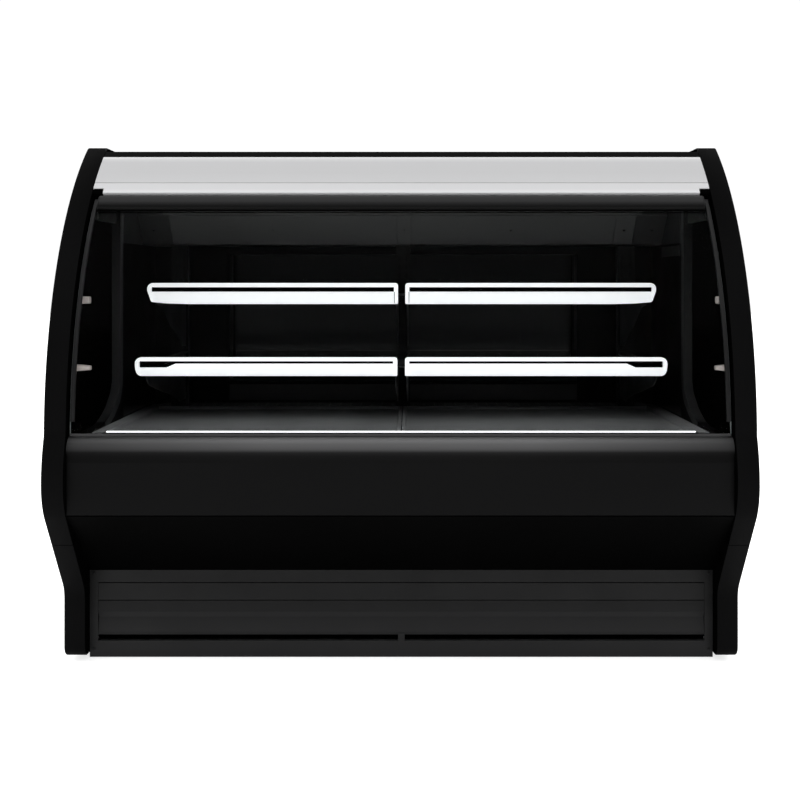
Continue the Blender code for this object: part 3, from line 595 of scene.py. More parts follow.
def inset(outline, distance):
    """The outline moved inwards by a distance, keeping its corners mitred."""
    points = [Vector(p) for p in outline]
    count = len(points)
    result = []
    for i, here in enumerate(points):
        first = (here - points[i - 1]).normalized()
        second = (points[(i + 1) % count] - here).normalized()
        normals = Vector((-first.y, first.x)) + Vector((-second.y, second.x))
        normals.normalize()
        spread = max(normals.dot(Vector((-first.y, first.x))), 0.5)
        result.append(tuple(here + normals * distance / spread))
    return result


def make_end_panels():
    """A crowned moulding round the edge, and a seam where the foot section meets the upper one."""
    outline = end_panel_outline()
    width = HALF - INNER
    section = [(0.0, 0.0016), (0.0005, 0.0006), (0.0016, 0.0)]
    section += [(width * 0.5, 0.0), (width - 0.0045, 0.0), (width - 0.0028, 0.0004),
                (width - 0.0014, 0.0013)]
    section += [(width - 0.0004, 0.0027), (width, 0.0045)]
    seam = 0.303
    for side, sign in both_sides():
        shape = bmesh.new()
        rings = []
        for across, distance in section:
            x = sign * (INNER + across)
            rings.append([shape.verts.new((x, *at(*point))) for point in inset(outline, distance)])
        for first, second in zip(rings, rings[1:]):
            add_skin(shape, first, second)
        shape.faces.new(rings[0]).material_index = 1
        shape.faces.new(rings[-1])
        bmesh.ops.recalc_face_normals(shape, faces=shape.faces)
        for part, keep_above in (("upper", True), ("foot", False)):
            half = shape.copy()
            edge = seam + (0.0007 if keep_above else -0.0007)
            everything = half.verts[:] + half.edges[:] + half.faces[:]
            cutting = bmesh.ops.bisect_plane(
                half, geom=everything, plane_co=(0, 0, edge), plane_no=(0, 0, 1),
                clear_inner=keep_above, clear_outer=not keep_above,
            )
            rim = [e for e in cutting["geom_cut"] if isinstance(e, bmesh.types.BMEdge)]
            bmesh.ops.contextual_create(half, geom=rim)
            name = "end_panel_%s_%s" % (side, part)
            looks = ["end_panel_black", "slot_dark"]
            make_piece(name, half, looks, replaces="end_panel_" + side, slot="moulded_end", smooth=30)
        shape.free()
        bars = bmesh.new()
        stiffener = [(0.27, 1.056), (0.4555, 1.0562), (0.4555, 1.087), (0.27, 1.082)]
        add_prism(bars, stiffener, *mirrored(sign, INNER - 0.013, INNER - HAIR))
        make_piece("end_panel_%s_stiffener" % side, bars, "stiffener_black", slot="moulded_end",
                   bevel=0.0012)


# ---------------------------------------------------------------- front


def make_front():
    nose = (0.061, 0.5215)
    shape = bmesh.new()
    outline = [(0.0847, 0.5128), (0.0847, 0.556), (0.0832, 0.5575)]
    outline += arc(nose, 0.036, 90, 180, 20)
    outline += [(0.025, 0.5), (0.025, 0.3835), (0.0265, 0.382), (0.045, 0.382), (0.045, 0.3835),
                (0.028, 0.384)]
    outline += [(0.0265, 0.5)] + arc(nose, 0.0345, 180, 90, 20)
    outline += [(0.0832, 0.556), (0.0832, 0.5128)]
    add_prism(shape, outline, -SPAN, SPAN)
    # The faces above the fascia take the nose material, whose colour is a painted highlight.
    for side in shape.faces:
        if side.calc_center_median().z > 0.501:
            side.material_index = 1
    looks = ["fascia_black", "nose_painted_highlight"]
    make_piece("front_bumper_skin", shape, looks, replaces="front_bumper", slot="painted_steel")

    seal = bmesh.new()
    for sign in (-1, 1):
        add_box(seal, mirrored(sign, INNER - 0.0018, INNER - 0.0004), (0.0245, 0.034), (0.384, 0.52))
    make_piece("bumper_end_seals", seal, "slot_dark", bevel=0.0003)

    strip = bmesh.new()
    lip = [(0.047, 0.5546), (0.0473, 0.559), (0.049, 0.5593), (0.051, 0.5585), (0.0515, 0.556)]
    add_prism(strip, lip, -0.742, 0.742)
    make_piece("glass_sill_gasket", strip, "sill_grey")

    paint("undercut_panel", "undercut_black", 0.0008)
    make_kick_grille()


def make_kick_grille():
    """A framed kick plate: two pressed rows whose joints show a near-black sheet of painted shade, and a
    long air slot near the floor lined with painted shade.
    """
    low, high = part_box("kick_grille")
    face = low.y - FRONT
    foot, half = 0.003, 0.7295
    shape = bmesh.new()
    xs = [-SPAN, -half, -0.008, 0.008, half, SPAN]
    zs = [foot, 0.0425, 0.0572, 0.0605, 0.183, high.z]
    add_pierced(shape, xs, zs, lambda i, j: (j == 1 and i in (1, 3)) or (j == 3 and i in (1, 2, 3)),
                face, 0.002)
    make_piece("kick_grille_frame", shape, "kick_grey_black", replaces="kick_grille",
               slot="painted_steel", bevel=0.0004)

    rows = bmesh.new()
    back = face + 0.008
    upper = [(back, 0.1402), (face + 0.001, 0.1402), (face + 0.0004, 0.141), (face + 0.0004, 0.1804)]
    upper += [(face + 0.001, 0.1814), (back, 0.1814)]
    lower = [(back, 0.061), (face + 0.0008, 0.061), (face + 0.0004, 0.064), (face + 0.0062, 0.0985)]
    lower += [(face + 0.002, 0.109), (face + 0.0001, 0.112), (face + 0.0005, 0.115), (face + 0.002, 0.1372)]
    lower += [(face + 0.0026, 0.1384), (back, 0.1384)]
    for outline in (upper, lower):
        add_prism(rows, outline, -half + 0.0006, half - 0.0006)
    make_piece("kick_grille_rows", rows, "kick_grey_black", slot="painted_steel", smooth=20)

    # Painted shade: a near-black sheet behind the pressed rows, and a back and floor inside the air slot;
    # the vanes stand in the slot.
    dark = bmesh.new()
    add_box(dark, (-half - 0.004, half + 0.004), (back + HAIR, back + 0.001), (0.059, 0.185))
    add_box(dark, (-half - 0.004, half + 0.004), (face + 0.018, face + 0.019), (0.036, 0.064))
    add_box(dark, (-half - 0.004, half + 0.004), (face + 0.0022, face + 0.018), (0.036, 0.037))
    for number in range(3):
        height = 0.044 + 0.004 * number
        vane = [(face + 0.008, height), (face + 0.016, height + 0.0022)]
        add_prism(dark, vane + [(d, z + 0.0008) for d, z in reversed(vane)], -half, half)
    make_piece("kick_slot_vanes_and_painted_shade", dark, "slot_dark")
    spots = [(x, face, z) for x in (-0.7392, 0.7392) for z in (0.022, 0.205)]
    screws("kick_grille_screws", spots, (0, -1, 0), "kick_grey_black", 0.0036)


def make_canopy():
    """The silver strip over the glass, with a narrow trim below it and glass stops in its corners."""
    skin = SKIN_RADIUS
    start, notch, seam, end = 44.2, 45.3, 46.72, 54.6
    sheet = bmesh.new()
    outline = [on_curve(skin - 0.003, seam + 0.06)] + sweep(skin, seam + 0.12, end - 0.1, 40)
    outline += [on_curve(skin - 0.0012, end), on_curve(skin - 0.004, end)]
    outline += sweep(skin - 0.004, end - 0.1, seam + 0.06, 40)
    add_prism(sheet, outline, -SPAN, SPAN)
    make_piece("canopy_sheet", sheet, "canopy_silver", replaces="canopy_panel", slot="silver_sheet")

    trim = bmesh.new()
    add_trim(trim, skin, start, seam, -0.7242, 0.7242)
    for sign in (-1, 1):
        add_trim(trim, skin, notch, seam, *mirrored(sign, 0.7242, SPAN))
    make_piece("canopy_lower_trim", trim, "canopy_silver", slot="silver_sheet")

    piece_of("canopy_insulation", "liner_black", add_prism,
             sweep(skin - 0.0046, 46.2, 54.3, 20) + sweep(skin - 0.012, 54.3, 46.2, 20), -SPAN, SPAN)
    stops = bmesh.new()
    for sign in (-1, 1):
        low, high = start + 0.02, notch - 0.03
        block = [on_curve(skin - 0.0008, low), on_curve(skin - HAIR, high), on_curve(skin - 0.018, high)]
        block += [on_curve(skin - 0.018, low)]
        add_prism(stops, block, *mirrored(sign, 0.7247, SPAN - 0.0003))
    make_piece("glass_stops", stops, "slot_dark", bevel=0.003, segments=3)
    paint("top_panel", "top_black", 0.001)


def add_trim(shape, skin, start, seam, x_low, x_high):
    """A stretch of the canopy's folded lower edge."""
    lip = [on_curve(skin, start + 0.1)] + sweep(skin, start + 0.2, seam - 0.05, 8)
    lip += [on_curve(skin - 0.0012, seam), on_curve(skin - 0.004, seam)]
    lip += sweep(skin - 0.004, seam - 0.05, start + 0.36, 8)
    lip += [on_curve(skin - 0.022, start + 0.34), on_curve(skin - 0.022, start),
            on_curve(skin - 0.0012, start)]
    add_prism(shape, lip, x_low, x_high)


# ---------------------------------------------------------------- front glass


def make_front_glass():
    start, end = 1.1, 42.2
    steps = 96
    outer, inner = GLASS_RADIUS, GLASS_RADIUS - GLASS
    chamfer = 0.0009
    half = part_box("front_glass")[1].x
    shape = bmesh.new()
    sections = []
    lean = chamfer / GLASS_RADIUS * 180 / pi
    extent = end - start - 2 * lean
    loop = [(outer, start + lean)]
    loop += [(outer, start + lean + extent * i / steps) for i in range(1, steps)]
    loop += [(outer, end - lean), (outer - chamfer, end), (inner + chamfer, end)]
    loop += [(inner, end - lean - extent * i / steps) for i in range(steps + 1)]
    loop += [(inner + chamfer, start), (outer - chamfer, start)]
    middle = (outer + inner) / 2
    for x in (-half, -half + chamfer, half - chamfer, half):
        ends = abs(x) == half
        ring = []
        for radius, angle in loop:
            if ends:
                radius = min(max(radius, inner + chamfer), outer - chamfer)
            ring.append(shape.verts.new((x, *at(*on_curve(radius, angle)))))
        sections.append(ring)
    for k, (first, second) in enumerate(zip(sections, sections[1:])):
        add_skin(shape, first, second, 0 if k == 1 else 1)
    for ring in (sections[0], sections[-1]):
        pane_edge(shape, ring, steps)
    for face in shape.faces:
        radii = [Vector((v.co.y - FRONT - CURVE[0], v.co.z - CURVE[1])).length for v in face.verts]
        if max(abs(r - middle) for r in radii) < GLASS / 2 - chamfer / 2:
            face.material_index = 1
    glass = ["clear_glass", "polished_glass_edge"]
    make_piece("front_glass_pane", shape, glass, "front_glass", "front_glass", "clear_glass")

    rail = bmesh.new()
    low, high = 40.9, 44.05
    outer_face = SKIN_RADIUS
    back = inner - 0.0075

    def crowned(radius, fall, count):
        """The rail's front face, falling back towards its upper and lower edges."""
        shares = [k / count for k in range(count + 1)]
        return [on_curve(radius - fall * abs(2 * t - 1) ** 4, low + (high - low) * t) for t in shares]

    outline = [on_curve(GLASS_RADIUS + 0.0004, low)] + crowned(outer_face, 0.01, 24)
    hooked = [(back + 0.003, high), (back, high - 0.25), (back, low + 1.15), (back + 0.003, low + 0.75)]
    hooked += [(inner - 0.0004, low + 0.45), (inner - 0.0004, 42.3), (GLASS_RADIUS + 0.0004, 42.3)]
    outline += [on_curve(*point) for point in hooked]
    add_prism(rail, outline, -0.7285, 0.7285)
    make_piece("glass_top_rail_bar", rail, "rail_grey", "front_glass", "glass_top_rail", "grey_anodised")
    caps = bmesh.new()
    for sign in (-1, 1):
        cap = crowned(outer_face - 0.0006, 0.0094, 12)
        cap += [on_curve(back + 0.002, high - 0.05), on_curve(back + 0.002, low + 0.9)]
        add_prism(caps, cap, *mirrored(sign, 0.7287, 0.7318))
    make_piece("glass_rail_end_caps", caps, "edge_trim_grey", "front_glass", slot="black_plastic",
               bevel=0.0016, segments=3)
    bead = bmesh.new()
    for radius, way in ((GLASS_RADIUS, 1), (inner, -1)):
        near, far = radius + way * 0.0002, radius + way * 0.0016
        section = [on_curve(near, 40.62), on_curve(near, 40.88), on_curve(far, 40.88), on_curve(far, 40.7)]
        add_prism(bead, section, -0.7335, 0.7335)
    make_piece("glass_rail_bead", bead, "slot_dark", "front_glass")
    for side in ("left", "right"):
        paint("glass_pivot_" + side, "slot_dark", 0.0006)
    trims = bmesh.new()
    for sign in (-1, 1):
        loop = sweep(outer + 0.0016, 3.3, 43.5, steps) + sweep(inner - 0.0018, 43.5, 3.3, steps)
        add_prism(trims, loop, *mirrored(sign, half - 0.0098, half - 0.0008))
    make_piece("glass_side_trims", trims, "edge_trim_grey", "front_glass", slot="grey_anodised",
               bevel=0.0008)
    foot = bmesh.new()
    loop = sweep(outer + 0.001, start + 0.015, start + 0.3, 3)
    loop += sweep(inner - 0.001, start + 0.3, start + 0.015, 3)
    add_prism(foot, loop, -half + 0.0005, half - 0.0005)
    make_piece("glass_foot_seal", foot, "sill_grey", "front_glass")


def pane_edge(shape, ring, steps):
    """Closes the end of the curved pane with quads between its outer and inner arcs."""
    outer_side = ring[: steps + 1]
    inner_side = ring[steps + 3 : 2 * steps + 4][::-1]
    for i in range(steps):
        quad = (outer_side[i], outer_side[i + 1], inner_side[i + 1], inner_side[i])
        shape.faces.new(quad).material_index = 1
    shape.faces.new(ring[steps : steps + 4]).material_index = 1
    shape.faces.new(ring[-3:] + ring[:1]).material_index = 1


# ---------------------------------------------------------------- inside


def make_header():
    """The folded housing across the rear of the top, with covers screwed over its sloping face."""
    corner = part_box("header_duct")[1]
    wide, back, roof = corner.x, corner.y - FRONT, corner.z
    shape = bmesh.new()
    wall = 0.002
    face = [(0.64, 1.104), (0.6418, 1.1), (0.65, 1.0905), (0.6518, 1.0885), (0.737, 1.009), (0.74, 1.008)]
    outer = [(0.64, roof)] + face + [(back, 1.008), (back, roof)]
    inner_face = [(x + wall, z + wall * 0.7) for x, z in reversed(face)]
    outline = outer + [(back - wall, roof), (back - wall, 1.01)] + inner_face + [(0.64 + wall, roof)]
    add_prism(shape, outline, -wide, wide)
    make_piece("header_housing", shape, "header_black", replaces="header_duct", slot="black_liner")

    covers = bmesh.new()
    slope = Vector((0.737 - 0.6518, 1.009 - 1.0885)).normalized()
    outward = Vector((slope.y, -slope.x))
    if outward.x > 0:
        outward = -outward
    lift = outward * 0.0022
    top_edge, foot_edge = Vector((0.653, 1.0872)), Vector((0.735, 1.0108))
    seams = [-wide + 0.004, -0.6405, -0.0159, 0.0229, 0.5858, 0.6405, wide - 0.004]
    for number, (low, high) in enumerate(zip(seams, seams[1:])):
        under = outward * 0.0002
        corners = [tuple(top_edge + under), tuple(foot_edge + under), tuple(foot_edge + lift),
                   tuple(top_edge + lift)]
        add_prism(covers, corners, low + 0.0008, high - 0.0008, 0 if number in (0, 5) else 1)
    make_piece("header_covers", covers, ["header_black", "header_cover"], slot="black_liner", bevel=0.0006)
    cheeks = bmesh.new()
    for sign in (-1, 1):
        cheek = [(0.4885, 1.0065), (0.7365, 1.0084), (0.6495, 1.0885), (0.6395, 1.1),
                 (0.6395, roof - 0.002)]
        cheek += [(0.4885, roof - 0.002)]
        add_prism(cheeks, cheek, *mirrored(sign, wide - 0.0018, wide + 0.0001))
    make_piece("header_cheeks", cheeks, "header_black", slot="black_liner", bevel=0.0004)
    piece_of("liner_sensor_cover", "header_black", add_box, (wide - 0.0024, wide - 0.0001), (0.5, 0.739),
             (0.974, 1.001), slot="black_liner", bevel=0.0008)
    strip = bmesh.new()
    lens = [(0.6412, 1.1), (0.6494, 1.09), (0.6482, 1.089), (0.64, 1.099)]
    add_prism(strip, lens, -0.655, 0.655)
    make_piece("header_lens_strip", strip, "header_lens", slot="black_liner")
    middle = (top_edge + foot_edge) / 2 + lift
    spots = [(x, middle.x, middle.y) for x in (-0.69, -0.36, 0.004, 0.3, 0.613, 0.69)]
    screws("header_screws", spots, (0, outward.x, outward.y), "black_enamel", 0.0032, proud=0.0015)


LINER_BEND = 0.06


def liner_outline():
    """The inner wall from the side: a sill in front, a bend, then straight up to the roof."""
    box_low, box_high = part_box("side_liner_left")
    low, roof, rear = box_low.z, box_high.z, box_high.y - FRONT
    outline = [(0.086, low), (0.086, 0.5545), (0.0885, 0.5555), (0.255, 0.5555), (0.29, 0.56),
               (0.32, 0.566)]
    outline += [(0.355, 0.5765), (0.385, 0.588)]
    outline += arc((0.397, 0.665), LINER_BEND, -60, 0, 14)
    outline += [(0.397 + LINER_BEND, roof), (rear, roof), (rear, low)]
    return outline


def make_side_liners():
    for side, sign in both_sides():
        box_low, box_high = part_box("side_liner_" + side)
        shape = bmesh.new()
        add_prism(shape, liner_outline(), box_low.x, box_high.x)
        make_piece("side_liner_%s_skin" % side, shape, "liner_black", replaces="side_liner_" + side,
                   slot="black_liner", bevel=0.0016, segments=3)
        edge = bmesh.new()
        top, centre, wide = box_high.z - 0.002, (0.397, 0.665), LINER_BEND + 0.03
        band = [(0.295, 0.5613), (0.32, 0.5665), (0.355, 0.577), (0.385, 0.5885)]
        band += arc(centre, LINER_BEND - 0.0004, -57, 0, 14) + [(centre[0] + LINER_BEND - 0.0004, top)]
        band += [(centre[0] + wide, top)] + arc(centre, wide, 0, -57, 14)
        band += [(0.396, 0.566), (0.36, 0.555), (0.322, 0.546), (0.3, 0.542)]
        face = box_high.x if sign < 0 else -box_low.x
        add_prism(edge, band, *mirrored(sign, abs(face) - 0.0014, INNER - 0.0003), 1)
        # The band's inner face takes the painted highlight; its narrow faces take the painted reflection of
        # the lit deck.
        for side_face in edge.faces:
            if len(side_face.verts) > 4:
                side_face.material_index = 0
        looks = ["liner_edge_painted_highlight", "liner_front_painted_reflection"]
        make_piece("side_liner_%s_edge" % side, edge, looks, slot="black_liner", bevel=0.0008)
        # A thin sheet on the liner's foot coloured as painted reflection of the lit deck.
        foot_reflection = bmesh.new()
        rise = [(0.492, 0.555), (0.765, 0.555), (0.765, 0.5556), (0.62, 0.57), (0.492, 0.579)]
        add_prism(foot_reflection, rise, *mirrored(sign, abs(face) - 0.0008, abs(face) + HAIR))
        make_piece("side_liner_%s_cove" % side, foot_reflection, "cove_grey", slot="black_liner")
        pads = bmesh.new()
        for depth, height, reach, tip_size in ((0.15, 0.863, 0.022, 0.92), (0.1, 0.708, 0.037, 0.6)):
            reach -= 0.01 if sign > 0 else 0.0
            wall, tip = sign * (INNER - HAIR), sign * (INNER - reach)
            half = 0.0088 if tip_size > 0.9 else 0.0078
            ring = []
            shoulder = wall + (tip - wall) * 0.55
            middle = (1 + tip_size) / 2
            for x, size in ((wall, 1.0), (shoulder, middle), (tip, tip_size)):
                h, d = half * size, 0.014 * size
                places = [at(depth + a * d, height + b * h) for a, b in octagon(0.62)]
                ring.append([pads.verts.new((x, *place)) for place in places])
            add_rings(pads, ring)
        make_piece("glass_side_pads_" + side, pads, "pale_nylon", bevel=0.0005)


def octagon(cut):
    """A unit square with its corners cut off."""
    return [(-cut, -1), (cut, -1), (1, -cut), (1, cut), (cut, 1), (-cut, 1), (-1, cut), (-1, -cut)]


def make_uprights():
    """Channels of folded steel with two columns of slots for the bracket hooks."""
    pitch, slot_high, slot_wide = 0.025, 0.013, 0.004
    for place_name in ("left", "centre", "right"):
        node = "upright_" + place_name
        low, high, face, back = reach_of(node)
        middle = (low.x + high.x) / 2
        width = high.x - low.x
        columns = [(middle + s * width * 0.24 - slot_wide / 2, middle + s * width * 0.24 + slot_wide / 2)
                   for s in (-1, 1)]
        rows = []
        height = 0.565
        while height + slot_high < high.z - 0.012:
            rows.append((height, height + slot_high))
            height += pitch
        xs, open_columns = breaks(low.x, high.x, columns)
        zs, open_rows = breaks(low.z, high.z, rows)
        shape = bmesh.new()
        add_pierced(shape, xs, zs, lambda i, j: i in open_columns and j in open_rows, face, 0.002)
        for x in ((low.x, low.x + 0.002), (high.x - 0.002, high.x)):
            add_box(shape, x, (face + 0.002, back), (low.z, high.z))
        make_piece(node + "_channel", shape, "upright_black", replaces=node, slot="shelf_steel",
                   bevel=0.0003)
        piece_of(node + "_shadow", "slot_dark", add_box, (low.x + 0.003, high.x - 0.003),
                 (face + 0.01, face + 0.011), (low.z, high.z))


# Under edge of each bracket: distance from the upright, and height above the foot as a share of
# the bracket's full height
BELLY = {
    "upper": ((0.33, 0.78), (0.214, 0.42), (0.116, 0.22), (0.075, 0.08), (0.057, 0.0)),
    "lower": ((0.499, 0.62), (0.33, 0.38), (0.214, 0.24), (0.111, 0.07), (0.085, 0.0)),
}


def bracket_outline(tier, front, top, foot, rear):
    """Shallow in front, with a belly that deepens in curves towards the upright."""
    points = [(front, top), (front, top - 0.018), (front + 0.012, top - 0.026)]
    points += [(rear - reach, foot + (top - foot) * share) for reach, share in BELLY[tier]]
    points += [(rear, foot), (rear, top)]
    return rounded(points, [0.0, 0.004, 0.004, 0.08, 0.08, 0.06, 0.03, 0.004, 0.0, 0.0], 6)


def make_brackets():
    for tier in ("upper", "lower"):
        for place_name in ("left", "centre", "right"):
            node = "bracket_%s_%s" % (tier, place_name)
            low, high, front, rear = reach_of(node)
            shape = bmesh.new()
            outline = bracket_outline(tier, front, high.z - HAIR, low.z, rear)
            thick = 0.003
            blades = [low.x, high.x - thick] if place_name == "centre" else [(low.x + high.x - thick) / 2]
            for x in blades:
                add_prism(shape, outline, x, x + thick)
            middle = (low.x + high.x) / 2
            ledge = 0.015 if place_name == "centre" else 0.01
            add_box(shape, (middle - ledge, middle + ledge), (front, rear - 0.004),
                    (high.z - 0.0032, high.z - HAIR))
            make_piece(node + "_arm", shape, "shelf_steel_black", replaces=node, slot="shelf_steel",
                       bevel=0.0006)


def make_shelves():
    tiers = {"upper": (0.8805, 0.8922), "lower": (0.7105, 0.7165)}
    for tier, slot in tiers.items():
        for side, sign in both_sides():
            paint("shelf_%s_%s" % (tier, side), "clear_glass", 0.0012)
            make_shelf_rail(tier, side, sign, slot)
            make_shelf_rests(tier, side)


def make_shelf_rail(tier, side, sign, slot):
    """A white rail with a narrow slot, glowing from the lamp behind it."""
    node = "shelf_rail_%s_%s" % (tier, side)
    low, high, face, back = reach_of(node)
    outer_x, inner_x = (low.x, high.x) if sign < 0 else (high.x, low.x)
    lean = 0.01 if tier == "upper" else 0.0065
    end = [(0.015 - u, high.z + w) for u, w in arc((0.0, -0.015), 0.015, 90, 0, 8)]
    if tier == "upper":
        end += [(0.0002, high.z - 0.02), (0.0085, low.z + 0.0085), (0.0105, low.z + 0.006),
                (0.0135, low.z + 0.0048)]
        end += [(0.05, low.z + 0.0015), (0.1, low.z)]
    else:
        end += [(0.0002, high.z - 0.022), (0.0018, low.z + 0.012), (0.0045, low.z + 0.0058),
                (0.0085, low.z + 0.002)]
        end += [(0.013, low.z)]
    corner = [(inner_x + sign * 0.0015, low.z), (inner_x, low.z + 0.0015), (inner_x, high.z - 0.006)]
    corner += [(inner_x + sign * 0.0018, high.z - 0.0018), (inner_x + sign * 0.006, high.z)]
    outline = corner + [(outer_x - sign * inwards, height) for inwards, height in end]
    notch = slot[0] - (0.0095 if tier == "lower" else 0.0)
    inner_end, outer_end = inner_x + sign * 0.01, outer_x - sign * 0.01
    step = outer_end - sign * 0.064
    window = [(inner_end, slot[0]), (inner_end, slot[1]), (outer_end, slot[1]), (outer_end, notch)]
    if tier == "lower":
        window += [(step, notch), (step - sign * 0.022, slot[0])]
    shape = bmesh.new()
    add_plate(shape, outline, face, back)
    cutter = bmesh.new()
    add_plate(cutter, rounded(window, 0.0012, 2), face - 0.01, face + 0.009)
    body = make_piece(node + "_bar", shape, "lit_rail_white", replaces=node, slot="lit_rail", bevel=0.0)
    carve(body, cutter)
    soften(body, 0.0009, 2)
    channel = bmesh.new()
    reach = sorted((inner_end, outer_end))
    add_box(channel, (reach[0] + 0.0004, reach[1] - 0.0004), (face + 0.0072, face + 0.0088),
            (notch + 0.0004, slot[1] - 0.0004))
    make_piece(node + "_channel", channel, "slot_dark")
    lamp = bmesh.new()
    ends = sorted((inner_x + sign * 0.011, outer_x - sign * (lean + 0.01)))
    add_box(lamp, (ends[0], ends[1]), (face - 0.0012, face + 0.0008), (low.z + 0.0045, notch - 0.002))
    make_piece(node + "_lamp", lamp, "lamp_cover_white", slot="lit_rail", bevel=0.0006)
    if tier == "upper":
        joint = bmesh.new()
        near, far = inner_x + sign * 0.0085, inner_x + sign * 0.01
        add_box(joint, sorted((near, far)), (face - 0.0014, face + 0.001), (low.z + 0.002, slot[0]))
        make_piece(node + "_joint", joint, "sill_grey", slot="lit_rail")


def carve(piece, cutter_shape):
    """Cuts a shape out of a piece for good."""
    bmesh.ops.recalc_face_normals(cutter_shape, faces=cutter_shape.faces)
    mesh = bpy.data.meshes.new("cutter")
    cutter_shape.to_mesh(mesh)
    cutter_shape.free()
    cutter = bpy.data.objects.new("cutter", mesh)
    bpy.context.scene.collection.objects.link(cutter)
    boolean = piece.modifiers.new("Cut", "BOOLEAN")
    boolean.operation = "DIFFERENCE"
    boolean.object = cutter
    bpy.context.view_layer.update()
    graph = bpy.context.evaluated_depsgraph_get()
    result = bpy.data.meshes.new_from_object(piece.evaluated_get(graph))
    piece.modifiers.remove(boolean)
    piece.data = result
    result.shade_smooth()
    result.set_sharp_from_angle(angle=radians(35))
    bpy.data.objects.remove(cutter)


def make_shelf_rests(tier, side):
    """Black rubber buttons between the glass and its brackets."""
    low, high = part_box("shelf_%s_%s" % (tier, side))
    shape = bmesh.new()
    for x in (low.x + 0.012, high.x - 0.012):
        for y in (low.y + 0.05, high.y - 0.05):
            add_turned(shape, [(0.005, -0.0014), (0.006, -0.0002)], (x, y, low.z), "Z", 12)
    make_piece("shelf_rests_%s_%s" % (tier, side), shape, "black_rubber")


def make_deck():
    """Two lift-out pans with a rolled rim, sills beside them and a lit strip along the front edge."""
    for side in ("left", "right"):
        low, high, front, rear = reach_of("deck_pan_" + side)
        floor = low.z + 0.0035
        shape = bmesh.new()
        rim = 0.008
        section = [(0.0, low.z), (0.0, high.z - 0.001), (0.001, high.z), (rim - 0.001, high.z)]
        section += [(rim + 0.0005, high.z - 0.0012), (rim + 0.0035, floor + 0.0008), (rim + 0.006, floor)]
        rings = []
        for distance, height in section:
            ring = [(low.x + distance, front + distance), (high.x - distance, front + distance)]
            ring += [(high.x - distance, rear - distance), (low.x + distance, rear - distance)]
            rings.append([shape.verts.new((x, FRONT + d, height)) for x, d in ring])
        add_rings(shape, rings)
        make_piece("deck_pan_%s_dish" % side, shape, "deck_grey", replaces="deck_pan_" + side,
                   slot="deck_steel", bevel=0.0004)
    sides = bmesh.new()
    low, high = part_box("deck_pan_left")
    for sign in (-1, 1):
        add_box(sides, mirrored(sign, -low.x + 0.001, SPAN - 0.025), (low.y - FRONT, high.y - FRONT),
                (high.z - 0.003, high.z - 0.0006))
    make_piece("deck_side_sills", sides, "deck_grey", slot="deck_steel", bevel=0.0006)
    strip = bmesh.new()
    outline = arc((low.y - FRONT - 0.0014, high.z + HAIR), 0.0024, 0, 360, 12)[:-1]
    add_prism(strip, outline, -0.691, 0.691)
    make_piece("deck_light_strip", strip, "lit_diffuser", slot="lit_rail")


def make_grille():
    low, high, front, rear = reach_of("return_air_grille")
    shape = bmesh.new()
    edge = 0.0035
    for x in ((low.x, low.x + edge), (-edge / 2, edge / 2), (high.x - edge, high.x)):
        add_box(shape, x, (front, rear), (low.z, high.z))
    for depth in ((front, front + edge), (rear - edge - 0.003, rear - 0.003)):
        add_box(shape, (low.x, high.x), depth, (low.z + 0.0001, high.z - 0.0001))
    bars = 13
    for k in range(1, bars):
        depth = front + (rear - front) * k / bars
        tilt = [(depth - 0.0007, low.z + 0.001), (depth + 0.0005, low.z + 0.001),
                (depth + 0.0022, high.z - 0.0004)]
        tilt += [(depth + 0.0008, high.z - 0.0004)]
        add_prism(shape, tilt, low.x + 0.001, high.x - 0.001)
    make_piece("return_air_slats", shape, "grille_black", replaces="return_air_grille",
               slot="black_plastic")

    comb = bmesh.new()
    for row in range(6):
        depth = 0.81 + row * 0.015
        add_box(comb, (-0.695, 0.695), (depth, depth + 0.001), (0.5415, 0.5515))
    for k in range(47):
        x = -0.695 + 1.39 * k / 46
        add_box(comb, (x - 0.0005, x + 0.0005), (0.8095, 0.8855), (0.5418, 0.5512))
    make_piece("supply_air_comb", comb, "grille_black")


# ---------------------------------------------------------------- rear


def make_rear():
    paint("rear_wall", "liner_black", 0.003, 3)
    paint("door_track_lower", "brushed_stainless", 0.0006)
    paint("door_track_upper", "fin_aluminium", 0.0006)
    gasket = bmesh.new()
    wall_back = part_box("rear_wall")[1].y - FRONT
    half, low, high = 0.51, 0.615, 0.985
    add_ring(gasket, (-half - 0.004, half + 0.004, low - 0.004, high + 0.004), 0.006, wall_back + HAIR,
             0.004)
    make_piece("rear_opening_gasket", gasket, "slot_dark", bevel=0.0008)
    trim = bmesh.new()
    wall_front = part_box("rear_wall")[0].y - FRONT
    add_ring(trim, (-half - 0.002, half + 0.002, low - 0.002, high + 0.002), 0.008, wall_front - 0.0014,
             0.0012)
    make_piece("rear_opening_trim", trim, "liner_black", bevel=0.0006)
    piece_of("rear_sill_panel", "door_tint_front", add_box, (-half, half),
             (wall_front - 0.0022, wall_front - 0.0003), (0.558, low - 0.012), slot="black_liner",
             bevel=0.0006)
    for side in ("left", "right"):
        make_rear_door(side)
    make_service_panel()
    make_control_panel()
    paint("insulated_tub", "tub_coated", 0.0012)


def add_ring(shape, box, width, depth, thickness):
    """A flat picture frame; box is the (x low, x high, z low, z high) of its inner edge."""
    x0, x1, z0, z1 = box
    inner = oblong(x0, x1, z0, z1)
    outer = oblong(x0 - width, x1 + width, z0 - width, z1 + width)
    far = depth + thickness
    rings = []
    for outline, d in ((inner, depth), (outer, depth), (outer, far), (inner, far)):
        rings.append([shape.verts.new((x, *at(d, z))) for x, z in outline])
    for k in range(4):
        add_skin(shape, rings[k], rings[(k + 1) % 4])


